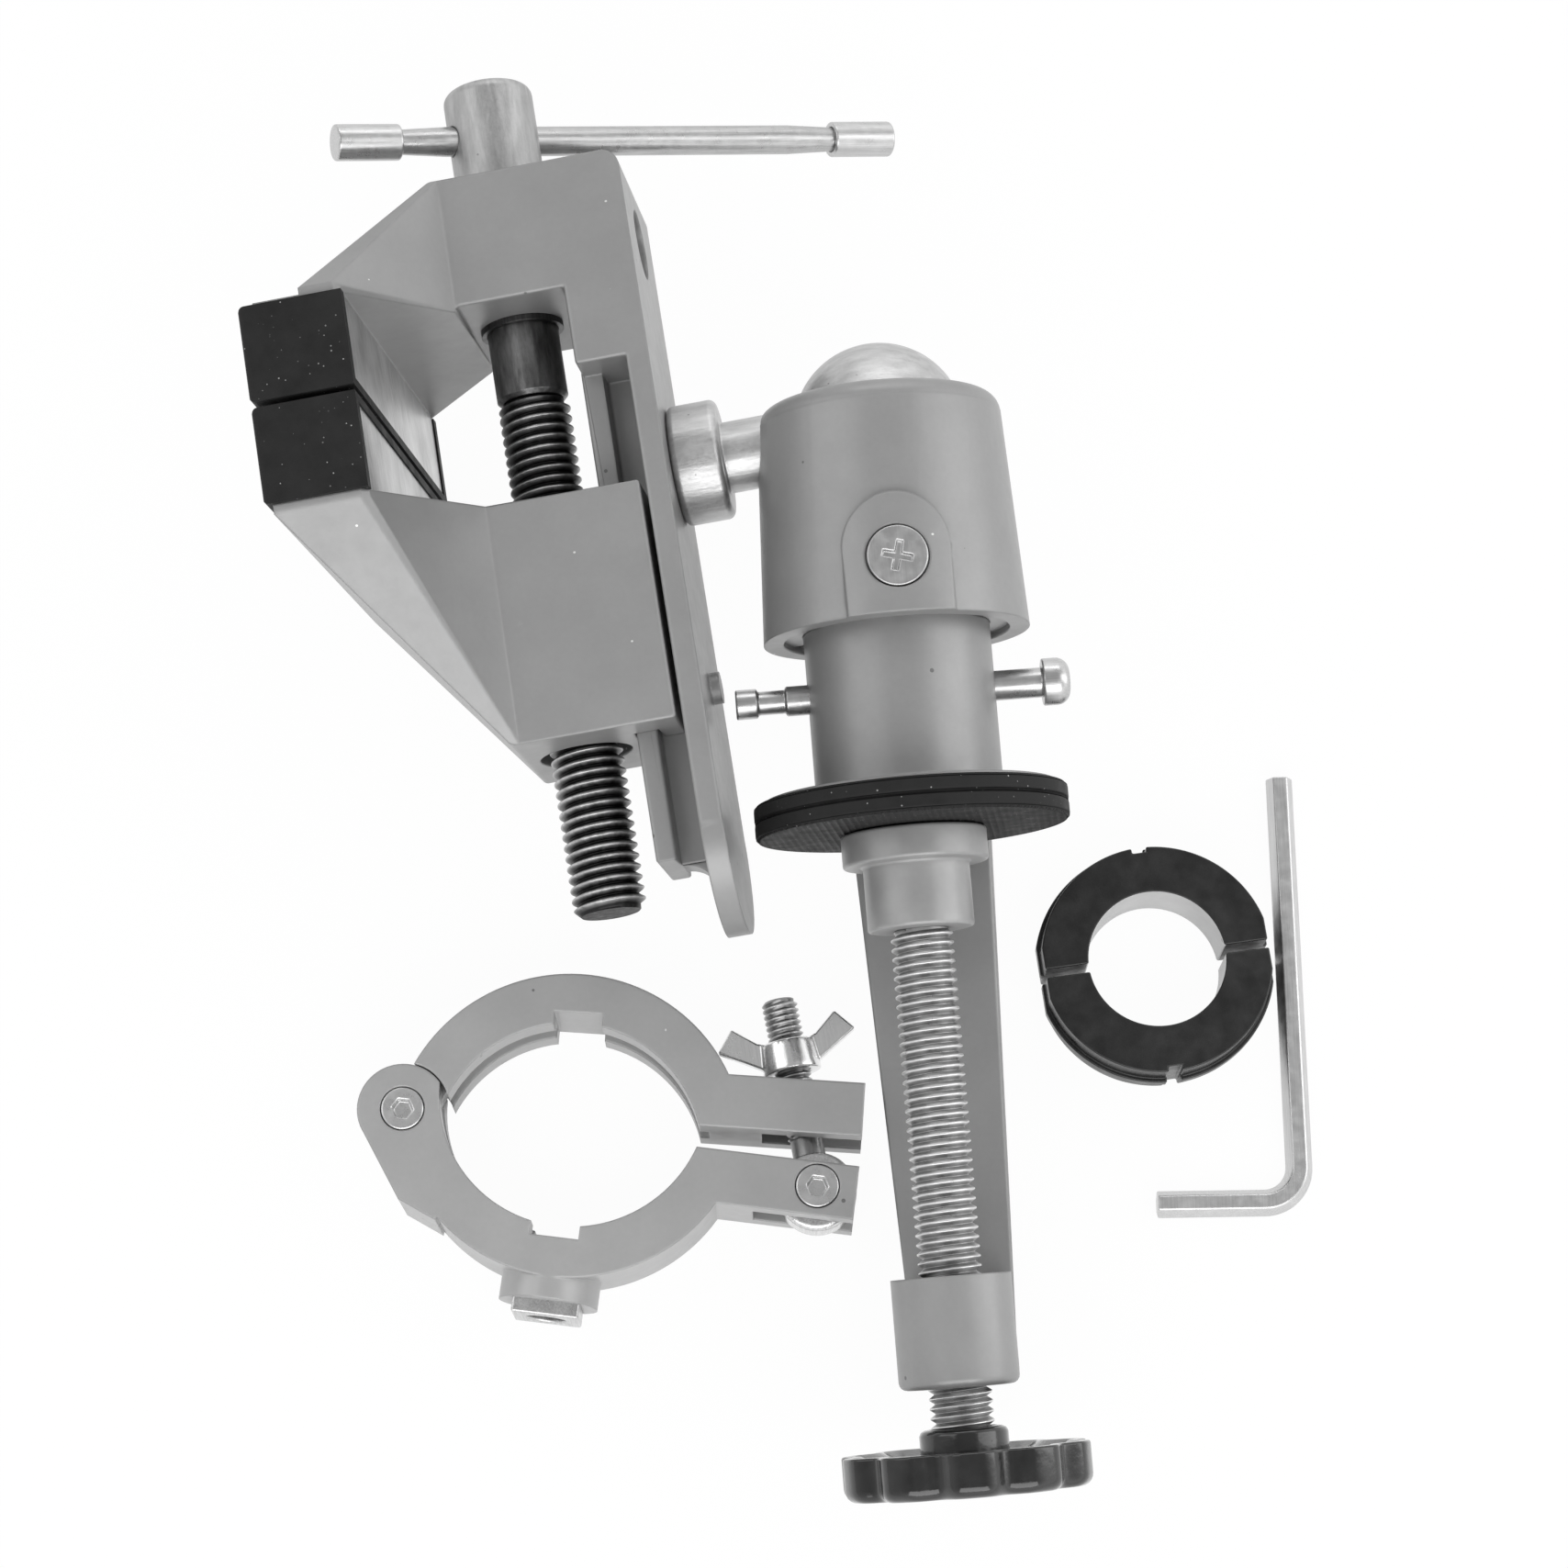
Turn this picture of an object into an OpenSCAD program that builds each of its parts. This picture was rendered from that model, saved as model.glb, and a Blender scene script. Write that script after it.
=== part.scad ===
// Ball-jointed hobby vise with a bench clamp, lying on its side, and its loose kit pieces.
// Millimetres, +Z up from the table. The origin is on the table, under the middle of the layout.

/* [Bench clamp] */
// Radius of the round rubber pad
pad_r = 25.1; // [24.4:0.1:26]
// Height of the pad's rim
pad_h = 5.5; // [4:0.1:6]
// Rubber under the frame's plate
pad_floor = 2.6; // [1.5:0.1:3]
// Radius of the frame's round plate
plate_r = 23.4; // [22:0.1:24]
// Thickness of the frame's round plate
plate_t = 3.4; // [3:0.1:5]
// Distance from the clamp's axis to the inner face of the spine
throat = 25.5; // [25.4:0.1:32]
// Thickness of the spine
spine_t = 4.9; // [4:0.1:8]
// Width of the spine at the plate
spine_w = 23.3; // [20:0.1:26]
// Width of the spine at the screw boss
spine_end_w = 16.4; // [15:0.1:18]
// Height of the arm above the plate
arm_rise = 7.5; // [3:0.1:9]
// Depth from the pad's face to the far end of the screw boss
frame_depth = 87.8; // [80:0.1:110]
// Length of the screw boss
boss_h = 17.2; // [12:0.1:22]
// Radius of the screw boss
boss_r = 9.5; // [8:0.1:12]
// Radius of the clamp screw
clamp_screw_r = 5; // [4:0.1:6]
// Pitch of the clamp screw
clamp_pitch = 1.5; // [1:0.05:1.75]
// Radius of the foot's pressing face
foot_r = 11.65; // [10:0.05:14]
// Thickness of the foot's pressing plate
foot_plate_t = 5.2; // [3:0.1:7]
// Radius of the foot's neck
foot_neck_r = 8.5; // [7.5:0.1:10]
// Length of the foot's neck
foot_neck_h = 10.4; // [8:0.1:14]
// Screw that shows between the boss and the knob's hub
screw_stickout = 6.2; // [3:0.1:12]
// Radius of the knob's hub
hub_r = 7; // [6.5:0.1:9]
// Length of the knob's hub
hub_h = 3.3; // [2:0.1:6]
// Radius of the knob over its lobes
knob_r = 19.9; // [17:0.1:23]
// Thickness of the knob
knob_t = 6.9; // [5:0.1:10]
// Number of lobes on the knob
knob_lobes = 10; // [6:1:12]

/* [Ball column] */
// Radius of the lock column
column_r = 15; // [14.5:0.1:15.5]
// Radius of the swivel stud's shoulder
stud_r = 6; // [5:0.1:6.5]
// Radius of the swivel stud's head
stud_head_r = 9; // [8:0.1:9.3]
// Thickness of the swivel stud's head
stud_head_t = 3.4; // [2:0.1:4]
// Floor of the column that the stud holds down
column_floor = 7.7; // [5:0.1:8]
// Height of the lever above the pad's face
lever_z = 22.3; // [22:0.1:24]
// Radius of the lever
lever_r = 2.4; // [2:0.1:3]
// Lever from the column's axis to its plain tip
lever_tip = 26.6; // [24:0.1:27]
// Lever from the column's axis to the end of its head
lever_head_end = 27; // [25:0.1:28]
// Radius of the lever's round head
lever_head_r = 3.8; // [3.2:0.1:4.5]
// Height of the sleeve's lower end above the pad's face
sleeve_z = 31.5; // [30:0.1:32]
// Length of the sleeve
sleeve_h = 38.2; // [37.5:0.1:39]
// Outer radius of the sleeve's lower end
sleeve_foot_r = 21.4; // [21:0.1:22.5]
// Outer radius of the sleeve's upper end
sleeve_top_r = 19.6; // [19:0.1:20.5]
// Radius of the sleeve's upper edge
sleeve_edge_r = 3; // [1:0.1:3.5]
// Width of the arched pads for the sleeve's screws
arch_w = 17; // [14:0.1:19]
// How far the arched pads stand proud
arch_proud = 0.9; // [0.5:0.1:1.5]
// Outer radius of the threaded ring in the sleeve
ring_r = 18.2; // [17.5:0.1:18.6]
// Length of the threaded ring
ring_h = 13; // [10:0.1:13.5]
// Head radius of the sleeve's screws
screw_head_r = 4.8; // [4:0.1:5.5]
// Shank radius of the sleeve's screws
screw_shank_r = 2; // [1.5:0.1:2.5]
// Radius of the ball
ball_r = 14; // [13.5:0.1:14.3]
// Height of the ball's centre above the pad's face
ball_z = 65.5; // [65:0.1:66]
// Radius of the ball's stem
stem_r = 5.8; // [5:0.1:6.2]
// Radius of the collar behind the jaw
collar_r = 9.8; // [8:0.1:9.9]
// Thickness of that collar
collar_t = 8.1; // [7:0.1:9.5]

/* [Vise head] */
// Distance from the ball's centre to the back of the fixed jaw
head_back = 33.5; // [33:0.1:34.5]
// Thickness of the back plate
back_t = 3.7; // [3:0.1:4.5]
// Half the width of the jaw bodies
body_half_w = 16; // [14:0.1:17]
// Length of the back plate below the ball's stem
back_low = 77.5; // [72:0.1:80]
// Height of the fixed jaw's top above the ball's stem
head_top = 49.9; // [48:0.1:52]
// Height of the fixed jaw's block
block_h = 21.6; // [20:0.1:24]
// Distance from the ball's centre to the lead screw
screw_x = 55; // [54.5:0.1:56]
// Distance from the ball's centre to the front of the jaw bodies
body_front = 64.5; // [63:0.1:67]
// Half the width of the rail's web
web_half_w = 3; // [2.5:0.1:4]
// Depth of the rail's web
web_t = 5; // [4:0.1:5.5]
// Half the width of the rail's flange
rail_half_w = 8.7; // [7:0.1:10]
// Thickness of the rail's flange
rail_t = 3.4; // [3:0.1:4]
// Height of the moving jaw's body
slider_h = 39; // [36:0.1:42]
// Half the width of the flared jaws
jaw_half_w = 37.4; // [34:0.1:38.5]
// Depth of the rubber jaw covers, front to back
cover_d = 16.7; // [15:0.1:18]
// Height of the rubber jaw covers
cover_h = 15.6; // [14:0.1:17]
// Gap between the closed jaws
jaw_gap = 1; // [0.3:0.1:2]
// Distance from the ball's centre to the front of the covers
cover_front = 94; // [92:0.1:95]
// Radius of the lead screw
lead_r = 5.9; // [5:0.1:6]
// Pitch of the lead screw
lead_pitch = 1.75; // [1.25:0.05:2]
// Radius of the lead screw's head
lead_head_r = 7.4; // [6.8:0.1:9]
// Height of the lead screw's head
lead_head_h = 19.8; // [16:0.1:22]
// Plain journal of the lead screw, below the block's top
journal_h = 34.6; // [30:0.1:36]
// Lead screw below the ball's stem
lead_low = 70.6; // [62:0.1:74]
// Height of the handle bar above the block
handle_rise = 11.1; // [8:0.1:12]
// Radius of the handle bar
handle_r = 2.45; // [2:0.05:3]
// Radius of the handle's end collars
handle_end_r = 3; // [2.6:0.1:3.5]
// Length of the handle's end collars
handle_end_h = 11; // [8:0.1:13]
// Handle bar from the screw's axis to its short end
handle_short = 27.4; // [26:0.1:32]
// Handle bar from the screw's axis to its long end
handle_long = 71.8; // [60:0.1:76]
// Angle of the handle bar about the lead screw
handle_turn = 27.4; // [0:0.1:90]

/* [Tool collar] */
// Radius of each half's seat
seat_r = 22; // [20:0.1:22.5]
// Outer radius of each half
half_r = 28.8; // [28:0.1:29.5]
// How far the crown of each half is thickened
crown = 1.5; // [0.5:0.1:2]
// How far each seat's centre lies beyond the split line
seat_offset = 6; // [5:0.1:7]
// Thickness of the tool collar
half_t = 16.2; // [15:0.1:16.2]
// Distance from the hinge to the seat's centre
hinge_arm = 27.4; // [27:0.1:28.5]
// Radius of the hinge knuckle
knuckle_r = 7.4; // [6.5:0.1:7.6]
// Radius of the hinge and swing pins
pin_r = 2; // [1.5:0.1:2.2]
// Head radius of the hinge and swing pins
pin_head_r = 3.5; // [3:0.1:4]
// Length of the ears past the seat's centre
ear_l = 47.7; // [45:0.1:50]
// Height of the ears
ear_h = 8.8; // [8:0.1:10]
// Distance from the hinge to the swing bolt's pin
swing_pin_x = 68.7; // [66:0.1:69]
// Angle that the halves stand open
collar_gape = 3.2; // [1:0.1:4]
// Radius of the swing bolt
swing_r = 3; // [2.5:0.1:3.1]
// Length of the swing bolt from its pin
swing_l = 33; // [30:0.1:36]
// Radius of the swing bolt's eye
eye_r = 6.5; // [6:0.1:7]
// Distance from the swing bolt's pin to the wing nut's foot
nut_seat = 20.6; // [20.4:0.1:22]
// Half the span of the wing nut
wing_span = 11.6; // [10:0.1:13]
// Radius of the boss under the collar
stud_boss_r = 8.1; // [7.5:0.1:9]
// Width of the square nut in that boss
square_nut_w = 11; // [10:0.1:11]
// Radius of the square nut's thread
square_nut_r = 3.3; // [2.5:0.1:4]
// Distance from the seat's centre to the end of that boss
boss_reach = 33.8; // [33:0.1:36]

/* [Bush and key] */
// Bore radius of the split bush
bush_bore_r = 11.4; // [9:0.1:12]
// Outer radius of the split bush
bush_r = 19.2; // [18:0.1:20]
// Thickness of the split bush
bush_t = 12; // [10:0.1:13]
// Gap between the halves of the bush
bush_gap = 1.4; // [0.8:0.1:2]
// Width of the hex key across its flats
key_af = 4; // [3:0.5:5]
// Length of the key's long arm
key_long = 72.8; // [60:0.1:80]
// Length of the key's short arm
key_short = 23.8; // [18:0.1:30]

/* [Clearances] */
// Radial clearance of running fits
run = 0.05; // [0.03:0.01:0.08]
// Clearance between sliding or facing flats
slip = 0.25; // [0.2:0.05:0.3]

/* [Layout] */
// Angle of the clamp's axis above the table
column_lean = 7.681; // [7:0.001:9]
// Turn of the clamp's axis on the table
column_turn = 4.543; // [0:0.001:6]
// Turn of the frame's spine about the clamp's axis
spine_turn = 6; // [0:0.1:8]
// Turn of the head about the column
head_turn = 6.39; // [5:0.01:8]
// Drop of the stem below square
stem_drop = 4.89; // [4:0.01:6]
// Roll of the head about the stem
head_roll = 3.3; // [2:0.1:5]

/* [Hidden] */
$fn = 64;
eps = 0.01;

// Places on the table, from the middle of the layout
clamp_place = [19.25, -13.1];
collar_place = [-63.55, -52.9];
bush_place = [60.65, -26.8];
key_place = [83.15, 6.8];

cast = [0.60, 0.60, 0.60];
steel = [0.72, 0.72, 0.72];
dark_steel = [0.30, 0.30, 0.30];
wing_chrome = [0.85, 0.85, 0.85];
rubber = [0.10, 0.10, 0.10];
black = [0.04, 0.04, 0.04];

spine_back = throat + spine_t;
plate_top = pad_floor + plate_t;
// The lower corner of the spine stands on the table
spine_reach = spine_back * cos(spine_turn) + spine_end_w / 2 * sin(spine_turn);
clamp_height = spine_reach * cos(column_lean) + frame_depth * sin(column_lean);

// The clamp's own frame: the pad's face at z = 0, the axis up z, the spine at +y
module in_clamp() {
    translate([clamp_place[0], clamp_place[1], clamp_height])
        rotate([column_lean - 90, 0, column_turn])
            children();
}

// The head's own frame: the ball's centre, the fixed jaw at -x, the lead screw along z
module in_head() {
    in_clamp()
        translate([0, 0, ball_z])
            rotate([-head_roll, -stem_drop, -head_turn])
                children();
}

// Ring of a revolved profile between two radii and two heights
module tube(r_out, r_in, z_low, z_high) {
    difference() {
        translate([0, 0, z_low])
            cylinder(r = r_out, h = z_high - z_low);
        translate([0, 0, z_low - eps])
            cylinder(r = r_in, h = z_high - z_low + 2 * eps);
    }
}

// Screw with ring grooves of the thread's pitch and depth, running down from z_high
module thread(r, pitch, z_low, z_high) {
    depth = 0.54 * pitch;
    turns = floor((z_high - z_low) / pitch);
    outline = [for (i = [0:turns - 1], k = [0:3])
        [k == 1 || k == 2 ? r : r - depth,
            z_high - pitch * (i + [0.06, 0.44, 0.56, 0.94][k])]];
    rotate_extrude()
        polygon(concat([[0, z_high], [r - depth, z_high]], outline,
            [[r - depth, z_low], [0, z_low]]));
}

// Slab across x, from a side outline in y and z
module side_slab(width, outline) {
    translate([-width / 2, 0, 0])
        rotate([90, 0, 90])
            linear_extrude(height = width)
                polygon(outline);
}

// Box from its low to its high corner
module block(low, high) {
    translate(low)
        cube(high - low);
}

// Bench clamp

boss_top = boss_h - frame_depth;
arm_root = 15.6;
arm_chamfer = 4;
arm_front = throat - 1.5;
boss_web_half_w = boss_r - 1;

module clamp_frame() {
    color(cast)
    in_clamp()
    rotate(-spine_turn)
        difference() {
            union() {
                translate([0, 0, pad_floor])
                    cylinder(r = plate_r, h = plate_t);
                // Arm that carries the plate from the spine
                side_slab(spine_w, [[arm_root, pad_floor], [spine_back, pad_floor],
                    [spine_back, plate_top + arm_rise - arm_chamfer], [spine_back - arm_chamfer, plate_top + arm_rise],
                    [arm_front, plate_top + arm_rise], [arm_root, plate_top]]);
                // Tapered spine
                translate([0, spine_back, 0])
                    rotate([90, 0, 0])
                        linear_extrude(height = spine_t)
                            polygon([[-spine_w / 2, plate_top], [spine_w / 2, plate_top],
                                [spine_end_w / 2, -frame_depth], [-spine_end_w / 2, -frame_depth]]);
                // Lower arm and screw boss
                block([-boss_web_half_w, 0, -frame_depth + 1], [boss_web_half_w, spine_back - 1, boss_top - 1]);
                translate([0, 0, -frame_depth])
                    cylinder(r = boss_r, h = boss_h);
            }
            translate([0, 0, -frame_depth - 1])
                cylinder(r = clamp_screw_r + run, h = boss_h + 2);
            translate([0, 0, pad_floor - 1])
                cylinder(r = stud_r - 1, h = plate_t + 2);
            // Clear space for the column above the plate
            translate([0, 0, plate_top])
                cylinder(r = column_r + 0.5, h = arm_rise + 1);
        }
}

// How far the pad's two rim layers stand proud of the groove between them
pad_rim = 0.4;
// Rubber left under the arm
pad_skin = 0.6;

module clamp_pad() {
    color(rubber)
    in_clamp()
    rotate(-spine_turn)
        difference() {
            union() {
                cylinder(r = pad_r - pad_rim, h = pad_h);
                for (z = [pad_rim, pad_h / 2 + pad_rim / 2])
                    translate([0, 0, z])
                        cylinder(r = pad_r, h = pad_h / 2 - 1.5 * pad_rim);
            }
            translate([0, 0, pad_floor])
                cylinder(r = plate_r, h = pad_h);
            block([-spine_w / 2 - slip, arm_root - slip, pad_skin],
                [spine_w / 2 + slip, spine_back, pad_h + 1]);
        }
}

stud_shoulder_top = plate_top + slip + column_floor + run;
stud_head_top = stud_shoulder_top + stud_head_t;
stud_slot_w = 1.6;
stud_slot_t = 1.4;

module swivel_stud() {
    color(steel)
    in_clamp()
        difference() {
            union() {
                translate([0, 0, pad_floor])
                    cylinder(r = stud_r - 1, h = plate_t + 1);
                translate([0, 0, plate_top])
                    cylinder(r = stud_r, h = stud_shoulder_top - plate_top + 1);
                translate([0, 0, stud_shoulder_top])
                    cylinder(r = stud_head_r, h = stud_head_t);
            }
            block([-stud_head_r - 1, -stud_slot_w / 2, stud_head_top - stud_slot_t],
                [stud_head_r + 1, stud_slot_w / 2, stud_head_top + 1]);
        }
}

foot_top = -slip;
neck_low = foot_top - foot_plate_t - foot_neck_h;
hub_top = -frame_depth - screw_stickout;
knob_top = hub_top - hub_h;
// Tip of the clamp screw, with the ring that the foot turns on
tip_r = clamp_screw_r - 1.2;
tip_h = foot_neck_h - 1;
tip_ring_t = 2.4;
tip_ring_z = neck_low - run + tip_h - 3;
// Plastic under the clamp screw's end
knob_floor = 2;

module clamp_screw() {
    color(steel)
    in_clamp() {
        thread(clamp_screw_r, clamp_pitch, knob_top - knob_t + knob_floor, neck_low - run);
        translate([0, 0, neck_low - run - eps])
            cylinder(r = tip_r, h = tip_h);
        translate([0, 0, tip_ring_z])
            cylinder(r = clamp_screw_r, h = tip_ring_t);
    }
}

module clamp_knob() {
    notch_r = knob_r * sin(180 / knob_lobes) * 0.62;
    low_edge = 2.6;
    high_edge = 1.2;
    color(black)
    in_clamp()
        difference() {
            union() {
                intersection() {
                    translate([0, 0, knob_top - knob_t])
                        linear_extrude(height = knob_t)
                            difference() {
                                circle(r = knob_r + 1);
                                for (i = [0:knob_lobes - 1])
                                    rotate(i * 360 / knob_lobes)
                                        translate([knob_r + notch_r * 0.55, 0])
                                            circle(r = notch_r);
                            }
                    translate([0, 0, knob_top - knob_t])
                        rotate_extrude()
                            polygon([[0, 0], [knob_r - low_edge, 0],
                                [knob_r - 0.3 * low_edge, 0.3 * low_edge], [knob_r, low_edge],
                                [knob_r, knob_t - high_edge], [knob_r - high_edge, knob_t], [0, knob_t]]);
                }
                translate([0, 0, knob_top - 1])
                    cylinder(r = hub_r, h = hub_h + 1);
            }
            translate([0, 0, knob_top - knob_t + knob_floor])
                cylinder(r = clamp_screw_r, h = knob_t + hub_h);
        }
}

module clamp_foot() {
    color(cast)
    in_clamp()
        difference() {
            union() {
                translate([0, 0, foot_top - foot_plate_t])
                    cylinder(r = foot_r, h = foot_plate_t);
                translate([0, 0, neck_low])
                    cylinder(r = foot_neck_r, h = foot_neck_h + 1);
            }
            translate([0, 0, neck_low - 1])
                cylinder(r = tip_r + run, h = tip_h + 1 + slip);
            translate([0, 0, tip_ring_z - slip])
                cylinder(r = clamp_screw_r + run, h = tip_ring_t + 2 * slip);
        }
}

// Ball column

column_low = plate_top + slip;
ring_z = sleeve_z + 1;
column_top = ring_z + ring_h + 1;
column_bore_r = stud_head_r + 0.5;
seat_bottom = column_top + run;
seat_outer_r = ball_r + 0.1;
column_foot_t = 0.8;
column_foot_proud = 0.35;
ring_pitch = 2;

module lock_column() {
    color(cast)
    in_clamp()
        difference() {
            union() {
                translate([0, 0, column_low])
                    cylinder(r = column_r, h = ring_z - column_low);
                translate([0, 0, column_low])
                    cylinder(r = column_r + column_foot_proud, h = column_foot_t);
                thread(column_r - run, ring_pitch, ring_z - eps, column_top);
            }
            translate([0, 0, column_low - 1])
                cylinder(r = stud_r + run, h = column_floor + 2);
            translate([0, 0, column_low + column_floor])
                cylinder(r = column_bore_r, h = column_top);
            translate([-column_r - 1, 0, lever_z])
                rotate([0, 90, 0])
                    cylinder(r = lever_r + run, h = 2 * column_r + 2);
        }
}

module lever_bar() {
    neck_h = 4.5;
    neck_t = 0.5;
    plain_h = 3.5;
    head_edge_r = 2.2;
    head_z = lever_head_end - 2 * head_edge_r;
    color(steel)
    in_clamp()
        translate([0, 0, lever_z])
            rotate([0, 90, 0])
                rotate_extrude()
                    difference() {
                        union() {
                            translate([0, -lever_tip])
                                square([lever_r, lever_tip + head_z + eps]);
                            translate([0, head_z])
                                square([lever_head_r, head_edge_r]);
                            translate([0, head_z])
                                square([lever_head_r - head_edge_r, 2 * head_edge_r]);
                            translate([lever_head_r - head_edge_r, head_z + head_edge_r])
                                circle(r = head_edge_r);
                        }
                        // Crimped neck beside the plain tip
                        translate([lever_r - neck_t, plain_h - lever_tip])
                            square([neck_t + 1, neck_h]);
                        translate([-2 * lever_head_r, -lever_tip - 1])
                            square([2 * lever_head_r, lever_tip + lever_head_end + 2]);
                    }
}

// Place of a point on the sleeve's tapered wall
function sleeve_wall(z) = sleeve_foot_r + (sleeve_top_r - sleeve_foot_r) * (z - sleeve_z) / sleeve_h;

sleeve_top = sleeve_z + sleeve_h;
sleeve_screw_z = sleeve_z + 8.9;
arch_z = sleeve_z + 10.7;
slot_r = stem_r + 0.6;
slot_z = ball_z - sleeve_top_r * tan(stem_drop);
seat_h = 10;
// Space above the column's top inside the sleeve
column_travel = 1.5;
// Depth of the screws' heads in the arched pads
screw_sink = 1.2;
screw_head_t = 1.4;

screw_head_low = sleeve_wall(sleeve_screw_z) + arch_proud - screw_sink;

module arch(side) {
    rotate(side)
        intersection() {
            rotate([90, 0, 0])
                linear_extrude(height = sleeve_foot_r + 3)
                    union() {
                        translate([0, arch_z])
                            circle(r = arch_w / 2);
                        translate([-arch_w / 2, sleeve_z])
                            square([arch_w, arch_z - sleeve_z]);
                    }
            translate([0, 0, sleeve_z])
                cylinder(r1 = sleeve_foot_r + arch_proud, r2 = sleeve_top_r + arch_proud, h = sleeve_h);
        }
}

module ball_sleeve() {
    color(cast)
    in_clamp()
        difference() {
            union() {
                rotate_extrude()
                    intersection() {
                        polygon([[0, sleeve_z], [sleeve_foot_r, sleeve_z], [sleeve_top_r, sleeve_top],
                            [0, sleeve_top]]);
                        union() {
                            square([sleeve_wall(sleeve_top) - sleeve_edge_r, sleeve_top]);
                            square([sleeve_foot_r, sleeve_top - sleeve_edge_r]);
                            translate([sleeve_top_r - sleeve_edge_r + 0.08, sleeve_top - sleeve_edge_r])
                                circle(r = sleeve_edge_r);
                        }
                    }
                arch(0);
                arch(180);
            }
            translate([0, 0, sleeve_z - 1])
                cylinder(r = ring_r, h = ring_h + 2);
            translate([0, 0, sleeve_z])
                cylinder(r = column_r + run, h = column_top + column_travel - sleeve_z);
            translate([0, 0, sleeve_z])
                cylinder(r = seat_outer_r + run, h = ball_z - sleeve_z);
            translate([0, 0, ball_z])
                sphere(r = ball_r + run);
            for (side = [0, 180])
                rotate(side)
                    translate([0, 0, sleeve_screw_z])
                        rotate([90, 0, 0]) {
                            cylinder(r = screw_shank_r + slip, h = 2 * column_r);
                            translate([0, 0, screw_head_low])
                                cylinder(r = screw_head_r + slip, h = 4 * screw_sink);
                        }
            // Slot that lets the stem swing up
            rotate(180 - head_turn) {
                translate([0, 0, slot_z])
                    rotate([0, 90, 0])
                        cylinder(r = slot_r, h = 2 * sleeve_foot_r);
                block([0, -slot_r, slot_z], [2 * sleeve_foot_r, slot_r, sleeve_top + 1]);
            }
        }
}

module sleeve_ring() {
    spanner_slot_w = 2;
    spanner_slot_t = 2.2;
    color(steel)
    in_clamp()
        difference() {
            tube(ring_r, column_r + run, ring_z, ring_z + ring_h);
            // Spanner slots in the lower face
            for (i = [0:5])
                rotate(i * 60 + 30)
                    block([column_r - 1, -spanner_slot_w / 2, ring_z - 1],
                        [ring_r + 1, spanner_slot_w / 2, ring_z + spanner_slot_t]);
            for (side = [0, 180])
                rotate(side)
                    translate([0, 0, sleeve_screw_z])
                        rotate([90, 0, 0])
                            cylinder(r = screw_shank_r, h = 2 * column_r);
        }
}

module sleeve_screw(side) {
    cross_half_l = 2.4;
    cross_w = 1;
    cross_t = 0.9;
    cross_turn = 8;
    color(steel)
    in_clamp()
        rotate(side)
            translate([0, 0, sleeve_screw_z])
                rotate([90, 0, 0])
                    difference() {
                        union() {
                            translate([0, 0, column_r + 0.4])
                                cylinder(r = screw_shank_r, h = screw_head_low - column_r);
                            translate([0, 0, screw_head_low])
                                cylinder(r = screw_head_r, h = screw_head_t);
                        }
                        translate([0, 0, screw_head_low + screw_head_t - cross_t])
                            for (a = [cross_turn, cross_turn + 90])
                                rotate(a)
                                    block([-cross_half_l, -cross_w / 2, 0], [cross_half_l, cross_w / 2, 2]);
                    }
}

module sleeve_screw_front() {
    sleeve_screw(0);
}

module sleeve_screw_back() {
    sleeve_screw(180);
}

module ball_seat() {
    color([0.85, 0.85, 0.83])
    in_clamp()
        difference() {
            translate([0, 0, seat_bottom])
                cylinder(r = seat_outer_r, h = seat_h);
            translate([0, 0, ball_z])
                sphere(r = ball_r + run);
            translate([0, 0, seat_bottom - 1])
                cylinder(r = 6, h = seat_h);
        }
}

spigot_r = 4;
spigot_l = 4;
collar_edge_r = 1.2;

module ball_stud() {
    color(steel)
    in_head() {
        sphere(r = ball_r);
        rotate([0, -90, 0]) {
            cylinder(r = stem_r, h = head_back - collar_t + 1);
            translate([0, 0, head_back - collar_t - run])
                rotate_extrude()
                    union() {
                        translate([0, collar_edge_r])
                            square([collar_r, collar_t - 2 * collar_edge_r]);
                        square([collar_r - collar_edge_r, collar_t]);
                        for (z = [collar_edge_r, collar_t - collar_edge_r])
                            translate([collar_r - collar_edge_r, z])
                                circle(r = collar_edge_r);
                    }
            translate([0, 0, head_back - 1])
                cylinder(r = spigot_r, h = spigot_l + 1);
        }
    }
}

// Vise head

plate_front = -head_back - back_t;
web_front = plate_front - web_t;
rail_front = web_front - rail_t;
shoulder_front = rail_front + 0.2;
block_low = head_top - block_h;
shoulder_low = block_low - 13.1;
rail_low = 12.1 - back_low;
cover_wall = 2.2;
cover_back = cover_d - cover_front;
upper_cover_low = 11.6;
flare_front = cover_front - 9.9;
upper_cover_high = upper_cover_low + cover_h;
lower_cover_high = upper_cover_low - jaw_gap;
lower_cover_low = lower_cover_high - cover_h;
slider_top = lower_cover_low - 0.4;
corner_r = 3;
face_t = 1.5;
// Metal tips of the flares
tip_t = 1.6;
// Stop stub and blind hole on the back plate
stub_r = 2.6;
stub_l = 1.6;
stub_drop = 37.4;
blind_r = 5.8;
blind_t = 7;
blind_drop = 11.4;
// Hollow under the moving jaw's nut thread
nut_relief = 1.6;
nut_relief_h = 8;

// Jaw lip that a rubber cover holds, bare at its back
module lip(back, z_low, z_high) {
    block([-cover_front + cover_wall, -jaw_half_w + cover_wall, z_low],
        [back, jaw_half_w - cover_wall, z_high]);
}

// Flare from a jaw's body out to its wide tip
module flare(front, body_low, body_high, tip_low, tip_high) {
    hull() {
        block([-body_front, -body_half_w, body_low], [-body_front + tip_t, body_half_w, body_high]);
        block([-front, -jaw_half_w + 0.8, tip_low], [cover_back - 1.4, jaw_half_w - 0.8, tip_high]);
    }
}

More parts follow.
